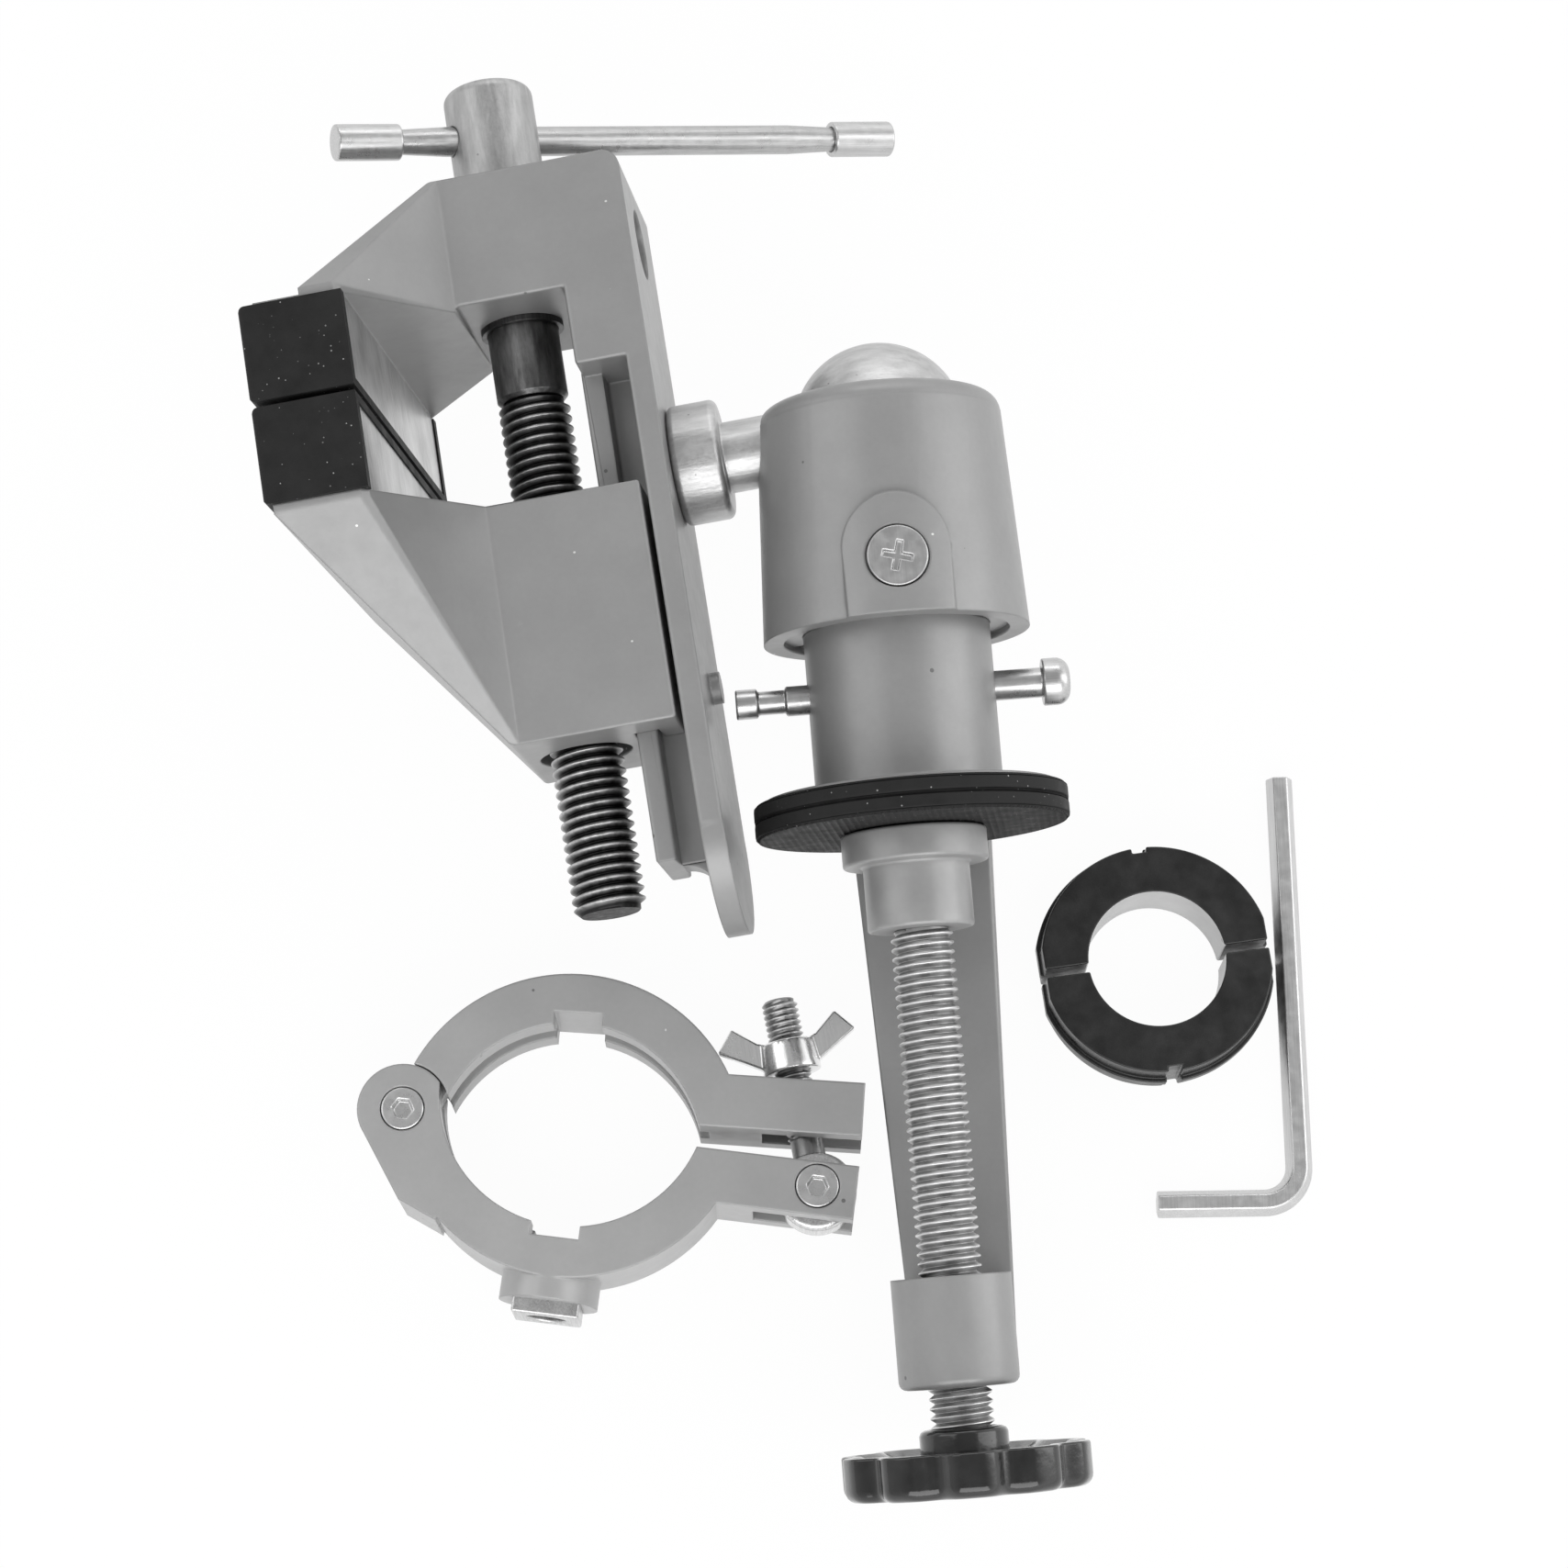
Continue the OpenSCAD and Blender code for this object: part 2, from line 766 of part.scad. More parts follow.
// Slab as wide as the jaw bodies, from a front plane to the back, rounded at the top corner
module jaw_profile(front) {
    translate([0, body_half_w, 0])
        rotate([90, 0, 0])
            linear_extrude(height = 2 * body_half_w)
                union() {
                    translate([front, -back_low])
                        square([-head_back - front, back_low + head_top - corner_r]);
                    translate([front, -back_low])
                        square([-head_back - corner_r - front, back_low + head_top]);
                    translate([-head_back - corner_r, head_top - corner_r])
                        circle(r = corner_r);
                }
}

module fixed_jaw() {
    color(cast)
    in_head()
        difference() {
            union() {
                // Back plate with a round lower end
                intersection() {
                    jaw_profile(plate_front);
                    translate([plate_front - 1, 0, 0])
                        rotate([90, 0, 90])
                            linear_extrude(height = back_t + 2)
                                union() {
                                    translate([-body_half_w, body_half_w - back_low])
                                        square([2 * body_half_w, back_low + head_top - body_half_w]);
                                    translate([0, body_half_w - back_low])
                                        circle(r = body_half_w);
                                }
                }
                difference() {
                    jaw_profile(-body_front);
                    block([-body_front - 1, -body_half_w - 1, -back_low - 1], [0, body_half_w + 1, block_low]);
                }
                block([shoulder_front, -body_half_w, shoulder_low], [-head_back - 1, body_half_w, block_low + 1]);
                block([web_front - 1, -web_half_w, rail_low], [plate_front + 1, web_half_w, shoulder_low + 1]);
                block([rail_front, -rail_half_w, rail_low], [web_front, rail_half_w, shoulder_low + 1]);
                flare(flare_front, upper_cover_high, head_top, upper_cover_high, upper_cover_high + tip_t);
                lip(cover_back - 0.3, upper_cover_low + face_t, upper_cover_high + 1);
                // Stop stub on the back
                translate([-head_back - 1, 0, -stub_drop])
                    rotate([0, 90, 0])
                        cylinder(r = stub_r, h = stub_l + 1);
            }
            translate([-screw_x, 0, -back_low])
                cylinder(r = lead_r + run, h = back_low + 2 * head_top);
            // Spigot hole and the blind hole above it
            translate([-head_back - spigot_l - run, 0, 0])
                rotate([0, 90, 0])
                    cylinder(r = spigot_r + run, h = spigot_l + 2);
            translate([-head_back - blind_t, 0, head_top - blind_drop])
                rotate([0, 90, 0])
                    cylinder(r = blind_r, h = blind_t + 1);
        }
}

module fixed_jaw_cover() {
    color(rubber)
    in_head()
        difference() {
            block([-cover_front, -jaw_half_w, upper_cover_low], [cover_back, jaw_half_w, upper_cover_high]);
            lip(cover_back + 1, upper_cover_low + face_t, upper_cover_high + 1);
        }
}

module moving_jaw() {
    // Open gap between the jaw's back and the plate
    slider_gap = 1;
    color(cast)
    in_head()
        difference() {
            union() {
                block([-body_front, -body_half_w, slider_top - slider_h],
                    [plate_front - slider_gap, body_half_w, slider_top]);
                flare(cover_front - 1.4, slider_top - slider_h, slider_top, lower_cover_low - tip_t, lower_cover_low);
                lip(cover_back - 0.3, lower_cover_low - 1, lower_cover_high - face_t);
            }
            // T-slot for the rail
            block([rail_front - slip, -rail_half_w - slip, slider_top - slider_h - 1],
                [web_front + slip, rail_half_w + slip, slider_top + 1]);
            block([web_front - slip, -web_half_w - slip, slider_top - slider_h - 1],
                [plate_front + 1, web_half_w + slip, slider_top + 1]);
            translate([-screw_x, 0, slider_top - slider_h - 1])
                cylinder(r = lead_r + run, h = slider_h + 2);
            // Hollow under the nut
            translate([-screw_x, 0, slider_top - slider_h - 1])
                cylinder(r = lead_r + nut_relief, h = nut_relief_h + 1);
        }
}

module moving_jaw_cover() {
    color(rubber)
    in_head()
        difference() {
            block([-cover_front, -jaw_half_w, lower_cover_low], [cover_back, jaw_half_w, lower_cover_high]);
            lip(cover_back + 1, lower_cover_low - 1, lower_cover_high - face_t);
        }
}

journal_low = head_top - journal_h;
lead_head_edge_r = 1.8;
ring_wall = 0.9;
ring_t = 1;
ring_groove_z = block_low - run - ring_t;

module lead_screw() {
    color(dark_steel)
    in_head()
        translate([-screw_x, 0, 0])
            difference() {
                union() {
                    translate([0, 0, head_top + run])
                        rotate_extrude()
                            union() {
                                square([lead_head_r, lead_head_h - lead_head_edge_r]);
                                square([lead_head_r - lead_head_edge_r, lead_head_h]);
                                translate([lead_head_r - lead_head_edge_r, lead_head_h - lead_head_edge_r])
                                    circle(r = lead_head_edge_r);
                            }
                    translate([0, 0, journal_low])
                        cylinder(r = lead_r, h = journal_h + 1);
                    thread(lead_r, lead_pitch, -lead_low, journal_low + eps);
                }
                translate([0, 0, head_top + handle_rise])
                    rotate([0, 90, handle_turn])
                        cylinder(r = handle_r + run, h = 3 * lead_head_r, center = true);
            }
}

module retaining_ring() {
    color(dark_steel)
    in_head()
        translate([-screw_x, 0, 0])
            tube(lead_r + ring_wall, lead_r, ring_groove_z, ring_groove_z + ring_t);
}

// The handle's own frame: along x, with the lead screw's axis at x = 0
module in_handle() {
    in_head()
        translate([-screw_x, 0, head_top + handle_rise])
            rotate(handle_turn)
                children();
}

handle_neck = 0.73 * handle_end_h;
handle_neck_r = 0.84 * handle_r;
handle_cap = 2;

module handle_bar() {
    color(steel)
    in_handle()
        rotate([0, 90, 0])
            rotate_extrude()
                polygon([[0, handle_cap - handle_short], [handle_neck_r, handle_cap - handle_short],
                    [handle_neck_r, handle_end_h - handle_short],
                    [handle_r, handle_end_h - handle_short + handle_neck],
                    [handle_r, handle_long - handle_end_h - handle_neck],
                    [handle_neck_r, handle_long - handle_end_h],
                    [handle_neck_r, handle_long - handle_cap], [0, handle_long - handle_cap]]);
}

// End collar from one place on the bar to another, its socket from bar_low to bar_high
module handle_end(x_low, x_high, bar_low, bar_high) {
    rotate([0, 90, 0])
        difference() {
            translate([0, 0, x_low])
                cylinder(r = handle_end_r, h = x_high - x_low);
            translate([0, 0, bar_low])
                cylinder(r = handle_neck_r, h = bar_high - bar_low);
        }
}

module handle_ends() {
    color(steel)
    in_handle() {
        handle_end(-handle_short, handle_end_h - handle_short,
            handle_cap - handle_short, handle_end_h - handle_short + 1);
        handle_end(handle_long - handle_end_h, handle_long,
            handle_long - handle_end_h - 1, handle_long - handle_cap);
    }
}

// Tool collar

half_low = stud_boss_r - half_t / 2;
half_high = stud_boss_r + half_t / 2;
split_gap = 0.8;
tongue_t = 4.6;
// Thickness of the swing bolt's eye and height of its slot in the ears
eye_t = 7.6;
ear_slot = eye_t + 0.8;
slot_back = 10;
ear_end = hinge_arm + ear_l;
swing_pin_y = -ear_h / 2;
swing_lean = 11;
collar_turn = -7;
half_turn = collar_turn + collar_gape;
groove_w = 5.6;
notch_w = 8;
nut_l = 5.4;
nut_floor = seat_offset - boss_reach + 3;
groove_t = 1.5;
notch_t = 1.8;
// Counterbores of the socket-headed pins
pin_head_t = 2.6;
pin_head_low = half_high - 2.4;
socket_af = 3;

// Hinge frame of the tool collar, turned as one of its halves
module in_collar(turn) {
    translate([collar_place[0], collar_place[1], 0])
        rotate(turn)
            children();
}

// Web between the knuckle and the arc of one half
hinge_web = [[-0.87 * knuckle_r, 0.5 * knuckle_r], [1.5, 2 * knuckle_r], [8, 17.5], [10, split_gap / 2],
    [0, split_gap / 2]];

// Flat outline of one half: the arc, the ear and the hinge knuckle, on its side of the split
module half_outline(web) {
    difference() {
        union() {
            difference() {
                translate([hinge_arm, crown - seat_offset])
                    circle(r = half_r);
                translate([hinge_arm - half_r - 2, -2 * half_r])
                    square([2 * half_r + 4, 2 * half_r + split_gap / 2]);
            }
            translate([hinge_arm + seat_r - 3, split_gap / 2])
                square([ear_l - seat_r + 3, ear_h]);
            circle(r = knuckle_r);
            if (web)
                polygon(hinge_web);
        }
        translate([hinge_arm, -seat_offset])
            circle(r = seat_r);
    }
}

// One half as a solid, with its groove, notch and ear slot
module half_body(web) {
    difference() {
        translate([0, 0, half_low])
            linear_extrude(height = half_t)
                half_outline(web);
        // Groove round the seat
        translate([hinge_arm, -seat_offset, stud_boss_r - groove_w / 2])
            cylinder(r = seat_r + groove_t, h = groove_w);
        // Locating notch in the middle of the seat
        block([hinge_arm - notch_w / 2, seat_r - seat_offset - 3, half_low - 1],
            [hinge_arm + notch_w / 2, seat_r - seat_offset + notch_t, half_high + 1]);
        // Slot for the swing bolt
        block([swing_pin_x - slot_back, -1, stud_boss_r - ear_slot / 2],
            [ear_end + 1, ear_h + 2, stud_boss_r + ear_slot / 2]);
    }
}

module collar_upper() {
    color(cast)
    in_collar(half_turn)
        difference() {
            half_body(false);
            // Tongue of the hinge
            translate([0, 0, half_low - 1])
                cylinder(r = knuckle_r + slip, h = half_t / 2 - tongue_t / 2 + 1);
            translate([0, 0, stud_boss_r + tongue_t / 2])
                cylinder(r = knuckle_r + slip, h = half_t);
            translate([0, 0, half_low - 1])
                cylinder(r = pin_r + run, h = half_t + 2);
        }
}

module collar_lower() {
    fork_gap = tongue_t + 2 * slip;
    color(cast)
    in_collar(collar_turn)
        difference() {
            union() {
                mirror([0, 1, 0])
                    half_body(true);
                // Boss for the mounting stud
                translate([hinge_arm, seat_offset - seat_r - 2, stud_boss_r])
                    rotate([90, 0, 0])
                        cylinder(r = stud_boss_r, h = boss_reach - seat_r - 2);
            }
            // Fork of the hinge
            translate([0, 0, stud_boss_r - fork_gap / 2])
                linear_extrude(height = fork_gap)
                    union() {
                        circle(r = knuckle_r + slip);
                        translate([-knuckle_r - 1, 0])
                            square([3 * knuckle_r, knuckle_r + 1]);
                    }
            translate([0, 0, half_low - 1])
                cylinder(r = pin_r, h = half_t + 2);
            translate([0, 0, pin_head_low])
                cylinder(r = pin_head_r + 0.15, h = half_t);
            translate([swing_pin_x, swing_pin_y, half_low - 1])
                cylinder(r = pin_r, h = half_t + 2);
            translate([swing_pin_x, swing_pin_y, pin_head_low])
                cylinder(r = pin_head_r + 0.15, h = half_t);
            translate([hinge_arm, seat_offset, stud_boss_r - half_t])
                cylinder(r = seat_r, h = 2 * half_t);
            // Square pocket for the nut
            block([hinge_arm - square_nut_w / 2, -boss_reach, stud_boss_r - square_nut_w / 2],
                [hinge_arm + square_nut_w / 2, nut_floor, stud_boss_r + square_nut_w / 2]);
            translate([hinge_arm, seat_offset, stud_boss_r])
                rotate([90, 0, 0])
                    cylinder(r = square_nut_r, h = half_r);
        }
}

// Socket-headed pin, from the table up to the collar's top face
module socket_pin() {
    difference() {
        union() {
            cylinder(r = pin_r, h = half_high - 1);
            translate([0, 0, pin_head_low])
                cylinder(r = pin_head_r, h = pin_head_t);
        }
        translate([0, 0, half_high - 1.6])
            cylinder(d = socket_af / cos(30), h = pin_head_t, $fn = 6);
    }
}

module collar_hinge_pin() {
    color(steel)
    in_collar(collar_turn)
        socket_pin();
}

module swing_pin() {
    color(steel)
    in_collar(collar_turn)
        translate([swing_pin_x, swing_pin_y, 0])
            socket_pin();
}

// The swing bolt's own frame: its pin at the origin, the bolt up +y
module in_swing() {
    in_collar(collar_turn)
        translate([swing_pin_x, swing_pin_y, stud_boss_r])
            rotate(swing_lean - collar_turn)
                children();
}

module swing_bolt() {
    thread_foot = 3 * swing_r;
    swing_pitch = 1;
    color(steel)
    in_swing()
        difference() {
            union() {
                translate([0, 0, -eye_t / 2])
                    cylinder(r = eye_r, h = eye_t);
                rotate([-90, 0, 0])
                    cylinder(r = swing_r - 0.3, h = thread_foot + 1);
                rotate([-90, 0, 0])
                    thread(swing_r, swing_pitch, thread_foot, swing_l);
            }
            translate([0, 0, -eye_t / 2 - 1])
                cylinder(r = pin_r + run, h = eye_t + 2);
        }
}

module wing_nut() {
    hub_r_low = 0.42 * wing_span;
    hub_l = 0.45 * wing_span;
    wing_t = 0.2 * wing_span;
    tip_h = 0.78 * wing_span;
    color(wing_chrome)
    in_swing()
        translate([0, nut_seat, 0])
            rotate([-90, 0, 0])
                difference() {
                    union() {
                        cylinder(r1 = hub_r_low, r2 = 0.9 * hub_r_low, h = hub_l);
                        for (side = [0, 180])
                            rotate(side)
                                translate([0, wing_t / 2, 0])
                                    rotate([90, 0, 0])
                                        linear_extrude(height = wing_t)
                                            polygon([[swing_r + 0.3, 0.4], [wing_span, 0.6 * tip_h],
                                                [0.75 * wing_span, tip_h], [swing_r + 0.3, 0.85 * hub_l]]);
                    }
                    translate([0, 0, -1])
                        cylinder(r = swing_r + run, h = 2 * wing_span);
                }
}

module boss_nut() {
    color(steel)
    in_collar(collar_turn)
        translate([hinge_arm, nut_floor, stud_boss_r])
            rotate([90, 0, 0])
                difference() {
                    block([-square_nut_w / 2, -square_nut_w / 2, 0], [square_nut_w / 2, square_nut_w / 2, nut_l]);
                    translate([0, 0, -1])
                        cylinder(r = square_nut_r, h = nut_l + 2);
                }
}

// Bush and key

module bush_half(key_side) {
    keyway_w = 2.4;
    keyway_t = 0.9;
    rib_w = 2.4;
    rib_proud = 0.8;
    flat_t = 0.5;
    in_bush()
        difference() {
            union() {
                intersection() {
                    cylinder(r = bush_r, h = bush_t);
                    block([flat_t - bush_r, -bush_r, 0], [bush_r - flat_t, bush_r, bush_t]);
                }
                // Rib round the middle
                translate([0, 0, (bush_t - rib_w) / 2])
                    intersection() {
                        cylinder(r = bush_r + rib_proud, h = rib_w);
                        block([-bush_r, -bush_r - 1, 0], [bush_r, bush_r + 1, rib_w]);
                    }
            }
            translate([0, 0, -1])
                cylinder(r = bush_bore_r, h = bush_t + 2);
            block([-bush_r - 2, key_side > 0 ? -2 * bush_r : -bush_gap / 2, -1],
                [bush_r + 2, key_side > 0 ? bush_gap / 2 : 2 * bush_r, bush_t + 1]);
            // Keyway in the outer wall
            block([-keyway_w / 2, key_side > 0 ? bush_r - keyway_t : -bush_r - 2, -1],
                [keyway_w / 2, key_side > 0 ? bush_r + 2 : keyway_t - bush_r, bush_t + 1]);
        }
}

module in_bush() {
    translate([bush_place[0], bush_place[1], 0])
        rotate(8)
            children();
}

module bush_upper() {
    color(black)
        bush_half(1);
}

module bush_lower() {
    color(black)
        bush_half(-1);
}

key_bend = 4;
key_turn = 0.9;

module hex_key() {
    across = key_af / cos(30);
    bend_r = key_bend + key_af / 2;
    color(steel)
    translate([key_place[0], key_place[1], key_af / 2])
    rotate(key_turn) {
        // Long arm, towards -y
        rotate([90, 0, 0])
            linear_extrude(height = key_long - bend_r)
                circle(d = across, $fn = 6);
        // Short arm, towards -x
        translate([-bend_r, -key_long, 0])
            rotate([90, 0, -90])
                linear_extrude(height = key_short - bend_r)
                    circle(d = across, $fn = 6);
        translate([-bend_r, bend_r - key_long, 0])
            rotate(-90)
                rotate_extrude(angle = 90)
                    translate([bend_r, 0])
                        circle(d = across, $fn = 6);
    }
}

clamp_frame();
clamp_pad();
swivel_stud();
clamp_screw();
clamp_knob();
clamp_foot();
lock_column();
lever_bar();
ball_sleeve();
sleeve_ring();
sleeve_screw_front();
sleeve_screw_back();
ball_seat();
ball_stud();
fixed_jaw();
fixed_jaw_cover();
moving_jaw();
moving_jaw_cover();
lead_screw();
retaining_ring();
handle_bar();
handle_ends();
collar_lower();
collar_upper();
collar_hinge_pin();
swing_bolt();
swing_pin();
wing_nut();
boss_nut();
bush_upper();
bush_lower();
hex_key();
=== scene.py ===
"""Dressed model of a ball-jointed hobby vise, laid on its side with its loose kit pieces."""

from math import atan2, cos, hypot, pi, radians, sin

import bmesh
import bpy
from mathutils import Euler, Matrix, Vector


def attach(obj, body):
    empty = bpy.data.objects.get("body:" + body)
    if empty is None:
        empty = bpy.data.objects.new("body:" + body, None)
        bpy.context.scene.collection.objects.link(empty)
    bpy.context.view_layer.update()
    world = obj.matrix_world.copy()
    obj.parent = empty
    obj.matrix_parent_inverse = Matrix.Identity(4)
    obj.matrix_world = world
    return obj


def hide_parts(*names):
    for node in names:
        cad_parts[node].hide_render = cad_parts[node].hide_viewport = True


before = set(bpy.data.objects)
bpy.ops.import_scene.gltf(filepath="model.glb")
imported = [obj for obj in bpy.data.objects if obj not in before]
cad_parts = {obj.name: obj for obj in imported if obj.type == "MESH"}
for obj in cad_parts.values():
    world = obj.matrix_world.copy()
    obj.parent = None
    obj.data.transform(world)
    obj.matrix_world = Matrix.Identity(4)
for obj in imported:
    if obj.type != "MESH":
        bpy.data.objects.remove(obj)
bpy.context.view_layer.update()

# Every piece is modelled in millimetres, in its own frame, and is then set in the model in metres.
METRE = Matrix.Scale(0.001, 4)
# Angle per mm of the hatching under the pad
HATCH_PER_MM = 2 * pi / 1.1


def placed(spot, turns=(0, 0, 0)):
    """Frame at a spot in mm, turned by degrees about x, then y, then z."""
    return Matrix.Translation(spot) @ Euler([radians(t) for t in turns]).to_matrix().to_4x4()


TABLE = placed((0, 0, 0))
CLAMP = placed((19.25, -13.1, 42.547), (7.681 - 90, 0, 4.543))
SPINE = CLAMP @ placed((0, 0, 0), (0, 0, -6))
HEAD = CLAMP @ placed((0, 0, 65.5), (-3.3, -4.89, -6.39))
STEM = HEAD @ placed((0, 0, 0), (0, -90, 0))
LEAD = HEAD @ placed((-55, 0, 0))
HANDLE = LEAD @ placed((0, 0, 61), (0, 0, 27.4)) @ placed((0, 0, 0), (0, 90, 0))
LEVER = CLAMP @ placed((0, 0, 22.3), (0, 90, 0))
COLLAR = placed((-63.55, -52.9, 0), (0, 0, -7))
COLLAR_OPEN = placed((-63.55, -52.9, 0), (0, 0, -3.8))
SWING = COLLAR @ placed((68.7, -4.4, 8.1), (0, 0, 18))
BOLT = SWING @ placed((0, 0, 0), (-90, 0, 0))
WING = SWING @ placed((0, 20.6, 0), (-90, 0, 0))
BUSH = placed((60.65, -26.8, 0), (0, 0, 8))
KEY = placed((83.15, 6.8, 2), (0, 0, 0.9))


# Camera and studio

def set_camera():
    eye = bpy.data.cameras.new("camera")
    eye.sensor_width = 36
    eye.lens = 88.525
    camera = bpy.data.objects.new("camera", eye)
    camera.location = (-0.00131, -0.1721, 0.6357)
    camera.rotation_euler = (radians(15.7), 0, 0)
    bpy.context.collection.objects.link(camera)
    bpy.context.scene.camera = camera


def lamp(name, spot, aim, size, watts):
    light = bpy.data.lights.new(name, "AREA")
    light.shape = "RECTANGLE"
    light.size, light.size_y = size
    light.energy = watts
    stand = bpy.data.objects.new(name, light)
    stand.location = spot
    stand.rotation_euler = (Vector(aim) - Vector(spot)).to_track_quat("-Z", "Y").to_euler()
    bpy.context.collection.objects.link(stand)


def light_studio():
    lamp("left_softbox", (-0.75, 0.15, 0.75), (0, 0, 0.02), (0.55, 0.9), 1.8)
    lamp("right_softbox", (0.8, 0.1, 0.5), (0, 0, 0.02), (0.4, 0.9), 1.8)
    lamp("back_strip", (0, 0.9, 0.65), (0, 0, 0.02), (0.9, 0.3), 1.4)
    lamp("front_softbox", (0.05, -0.8, 0.75), (0, 0, 0.03), (1.4, 0.7), 7)
    world = bpy.data.worlds.new("studio")
    bpy.context.scene.world = world
    world.use_nodes = True
    tree = world.node_tree
    background = tree.nodes["Background"]
    background.inputs["Strength"].default_value = 1.25
    way = add(tree, "ShaderNodeTexCoord")
    parts = add(tree, "ShaderNodeSeparateXYZ")
    tree.links.new(way.outputs["Generated"], parts.inputs[0])
    # Darker straight above and towards the left
    heights = ramp(tree, parts.outputs["Z"], [(0.25, 1), (0.9, 0.36)])
    sides = ramp(tree, sums(tree, "MULTIPLY_ADD", parts.outputs["X"], 0.5), [(0, 0.5), (0.5, 1)])
    tree.links.new(mixed(tree, "MULTIPLY", 1, heights, sides), background.inputs["Color"])


def lay_floor():
    """White sheet that takes the object's shadow and is seen as paper white."""
    half_width, drop, paper_white = 6, 0.0002, 0.96
    bm = bmesh.new()
    bmesh.ops.create_grid(bm, x_segments=1, y_segments=1, size=half_width)
    mesh = bpy.data.meshes.new("floor")
    bm.to_mesh(mesh)
    bm.free()
    floor = bpy.data.objects.new("floor", mesh)
    floor.location.z = -drop
    bpy.context.collection.objects.link(floor)
    paper = bpy.data.materials.new("white_paper")
    paper.use_nodes = True
    tree = paper.node_tree
    matt = tree.nodes["Principled BSDF"]
    matt.inputs["Base Color"].default_value = (0.9, 0.9, 0.9, 1)
    matt.inputs["Roughness"].default_value = 0.9
    glow = add(tree, "ShaderNodeEmission")
    path = add(tree, "ShaderNodeLightPath")
    mirror_or_glass = sums(tree, "MAXIMUM", path.outputs["Is Glossy Ray"],
                           path.outputs["Is Transmission Ray"])
    seen = sums(tree, "MAXIMUM", path.outputs["Is Camera Ray"], mirror_or_glass)
    blend = add(tree, "ShaderNodeMixShader")
    tree.links.new(sums(tree, "MULTIPLY", seen, paper_white), blend.inputs["Fac"])
    tree.links.new(matt.outputs[0], blend.inputs[1])
    tree.links.new(glow.outputs[0], blend.inputs[2])
    tree.links.new(blend.outputs[0], tree.nodes["Material Output"].inputs["Surface"])
    mesh.materials.append(paper)


# Finishes. Their patterns are in millimetres, in the frame of the piece.

def add(tree, kind, **settings):
    node = tree.nodes.new(kind)
    for name, value in settings.items():
        setattr(node, name, value)
    return node


def new_finish(name, place, **sockets):
    """Material with its shader's plain sockets set, and the millimetre coordinates of a frame."""
    finish = bpy.data.materials.new(name)
    finish.use_nodes = True
    tree = finish.node_tree
    shader = tree.nodes["Principled BSDF"]
    for socket, value in sockets.items():
        shader.inputs[socket.replace("_", " ")].default_value = value
    coords = add(tree, "ShaderNodeTexCoord")
    inside = add(tree, "ShaderNodeMapping", vector_type="POINT")
    back = place.inverted()
    inside.inputs["Location"].default_value = back.to_translation()
    inside.inputs["Rotation"].default_value = back.to_euler()
    inside.inputs["Scale"].default_value = (1000, 1000, 1000)
    tree.links.new(coords.outputs["Object"], inside.inputs["Vector"])
    return finish, tree, shader, inside.outputs["Vector"]


def stretched(tree, where, scale):
    """The same coordinates, scaled along each axis."""
    mapping = add(tree, "ShaderNodeMapping", vector_type="POINT")
    mapping.inputs["Scale"].default_value = scale
    tree.links.new(where, mapping.inputs["Vector"])
    return mapping.outputs["Vector"]


def cloud(tree, where, per_mm, detail=3, rough=0.5):
    """Soft noise with so many waves in a mm."""
    noise = add(tree, "ShaderNodeTexNoise")
    noise.inputs["Scale"].default_value = per_mm
    noise.inputs["Detail"].default_value = detail
    noise.inputs["Roughness"].default_value = rough
    tree.links.new(where, noise.inputs["Vector"])
    return noise.outputs["Fac"]


def ramp(tree, source, stops):
    """Grey steps along a source value: (place, grey) pairs."""
    node = add(tree, "ShaderNodeValToRGB")
    steps = node.color_ramp.elements
    while len(steps) < len(stops):
        steps.new(0.5)
    for step, (spot, grey) in zip(steps, stops):
        step.position = spot
        step.color = (grey, grey, grey, 1)
    tree.links.new(source, node.inputs["Fac"])
    return node.outputs["Color"]


def sums(tree, kind, first, second):
    """Math node on numbers or sockets."""
    node = add(tree, "ShaderNodeMath", operation=kind)
    for socket, value in zip(node.inputs, (first, second)):
        if isinstance(value, (int, float)):
            socket.default_value = value
        else:
            tree.links.new(value, socket)
    return node.outputs[0]


def mixed(tree, how, share, below, above):
    """Colours mixed by a blend type; the share is a number or a socket."""
    node = add(tree, "ShaderNodeMix", data_type="RGBA", blend_type=how)
    for socket, value in ((node.inputs[0], share), (node.inputs[6], below), (node.inputs[7], above)):
        if isinstance(value, (int, float)):
            socket.default_value = value if socket == node.inputs[0] else (value, value, value, 1)
        else:
            tree.links.new(value, socket)
    return node.outputs[2]


def relief(tree, shader, heights, edge=0):
    """Bump in mm from (height, depth) pairs, one after the other, over edges softened by a radius."""
    normal = None
    if edge:
        soft = add(tree, "ShaderNodeBevel", samples=6)
        soft.inputs["Radius"].default_value = edge * 0.001
        normal = soft.outputs["Normal"]
    for height, depth in heights:
        bump = add(tree, "ShaderNodeBump")
        bump.inputs["Distance"].default_value = depth * 0.001
        tree.links.new(height, bump.inputs["Height"])
        if normal:
            tree.links.new(normal, bump.inputs["Normal"])
        normal = bump.outputs["Normal"]
    tree.links.new(normal, shader.inputs["Normal"])


def specks(tree, where, per_mm, size, thin):
    """Small scattered spots: 1 on a spot and 0 elsewhere; thin leaves most of them out."""
    cells = add(tree, "ShaderNodeTexVoronoi")
    cells.inputs["Scale"].default_value = per_mm
    tree.links.new(where, cells.inputs["Vector"])
    spot = sums(tree, "LESS_THAN", cells.outputs["Distance"], size)
    lot = add(tree, "ShaderNodeSeparateColor")
    tree.links.new(cells.outputs["Color"], lot.inputs[0])
    kept = sums(tree, "GREATER_THAN", lot.outputs[0], thin)
    return sums(tree, "MULTIPLY", spot, kept)


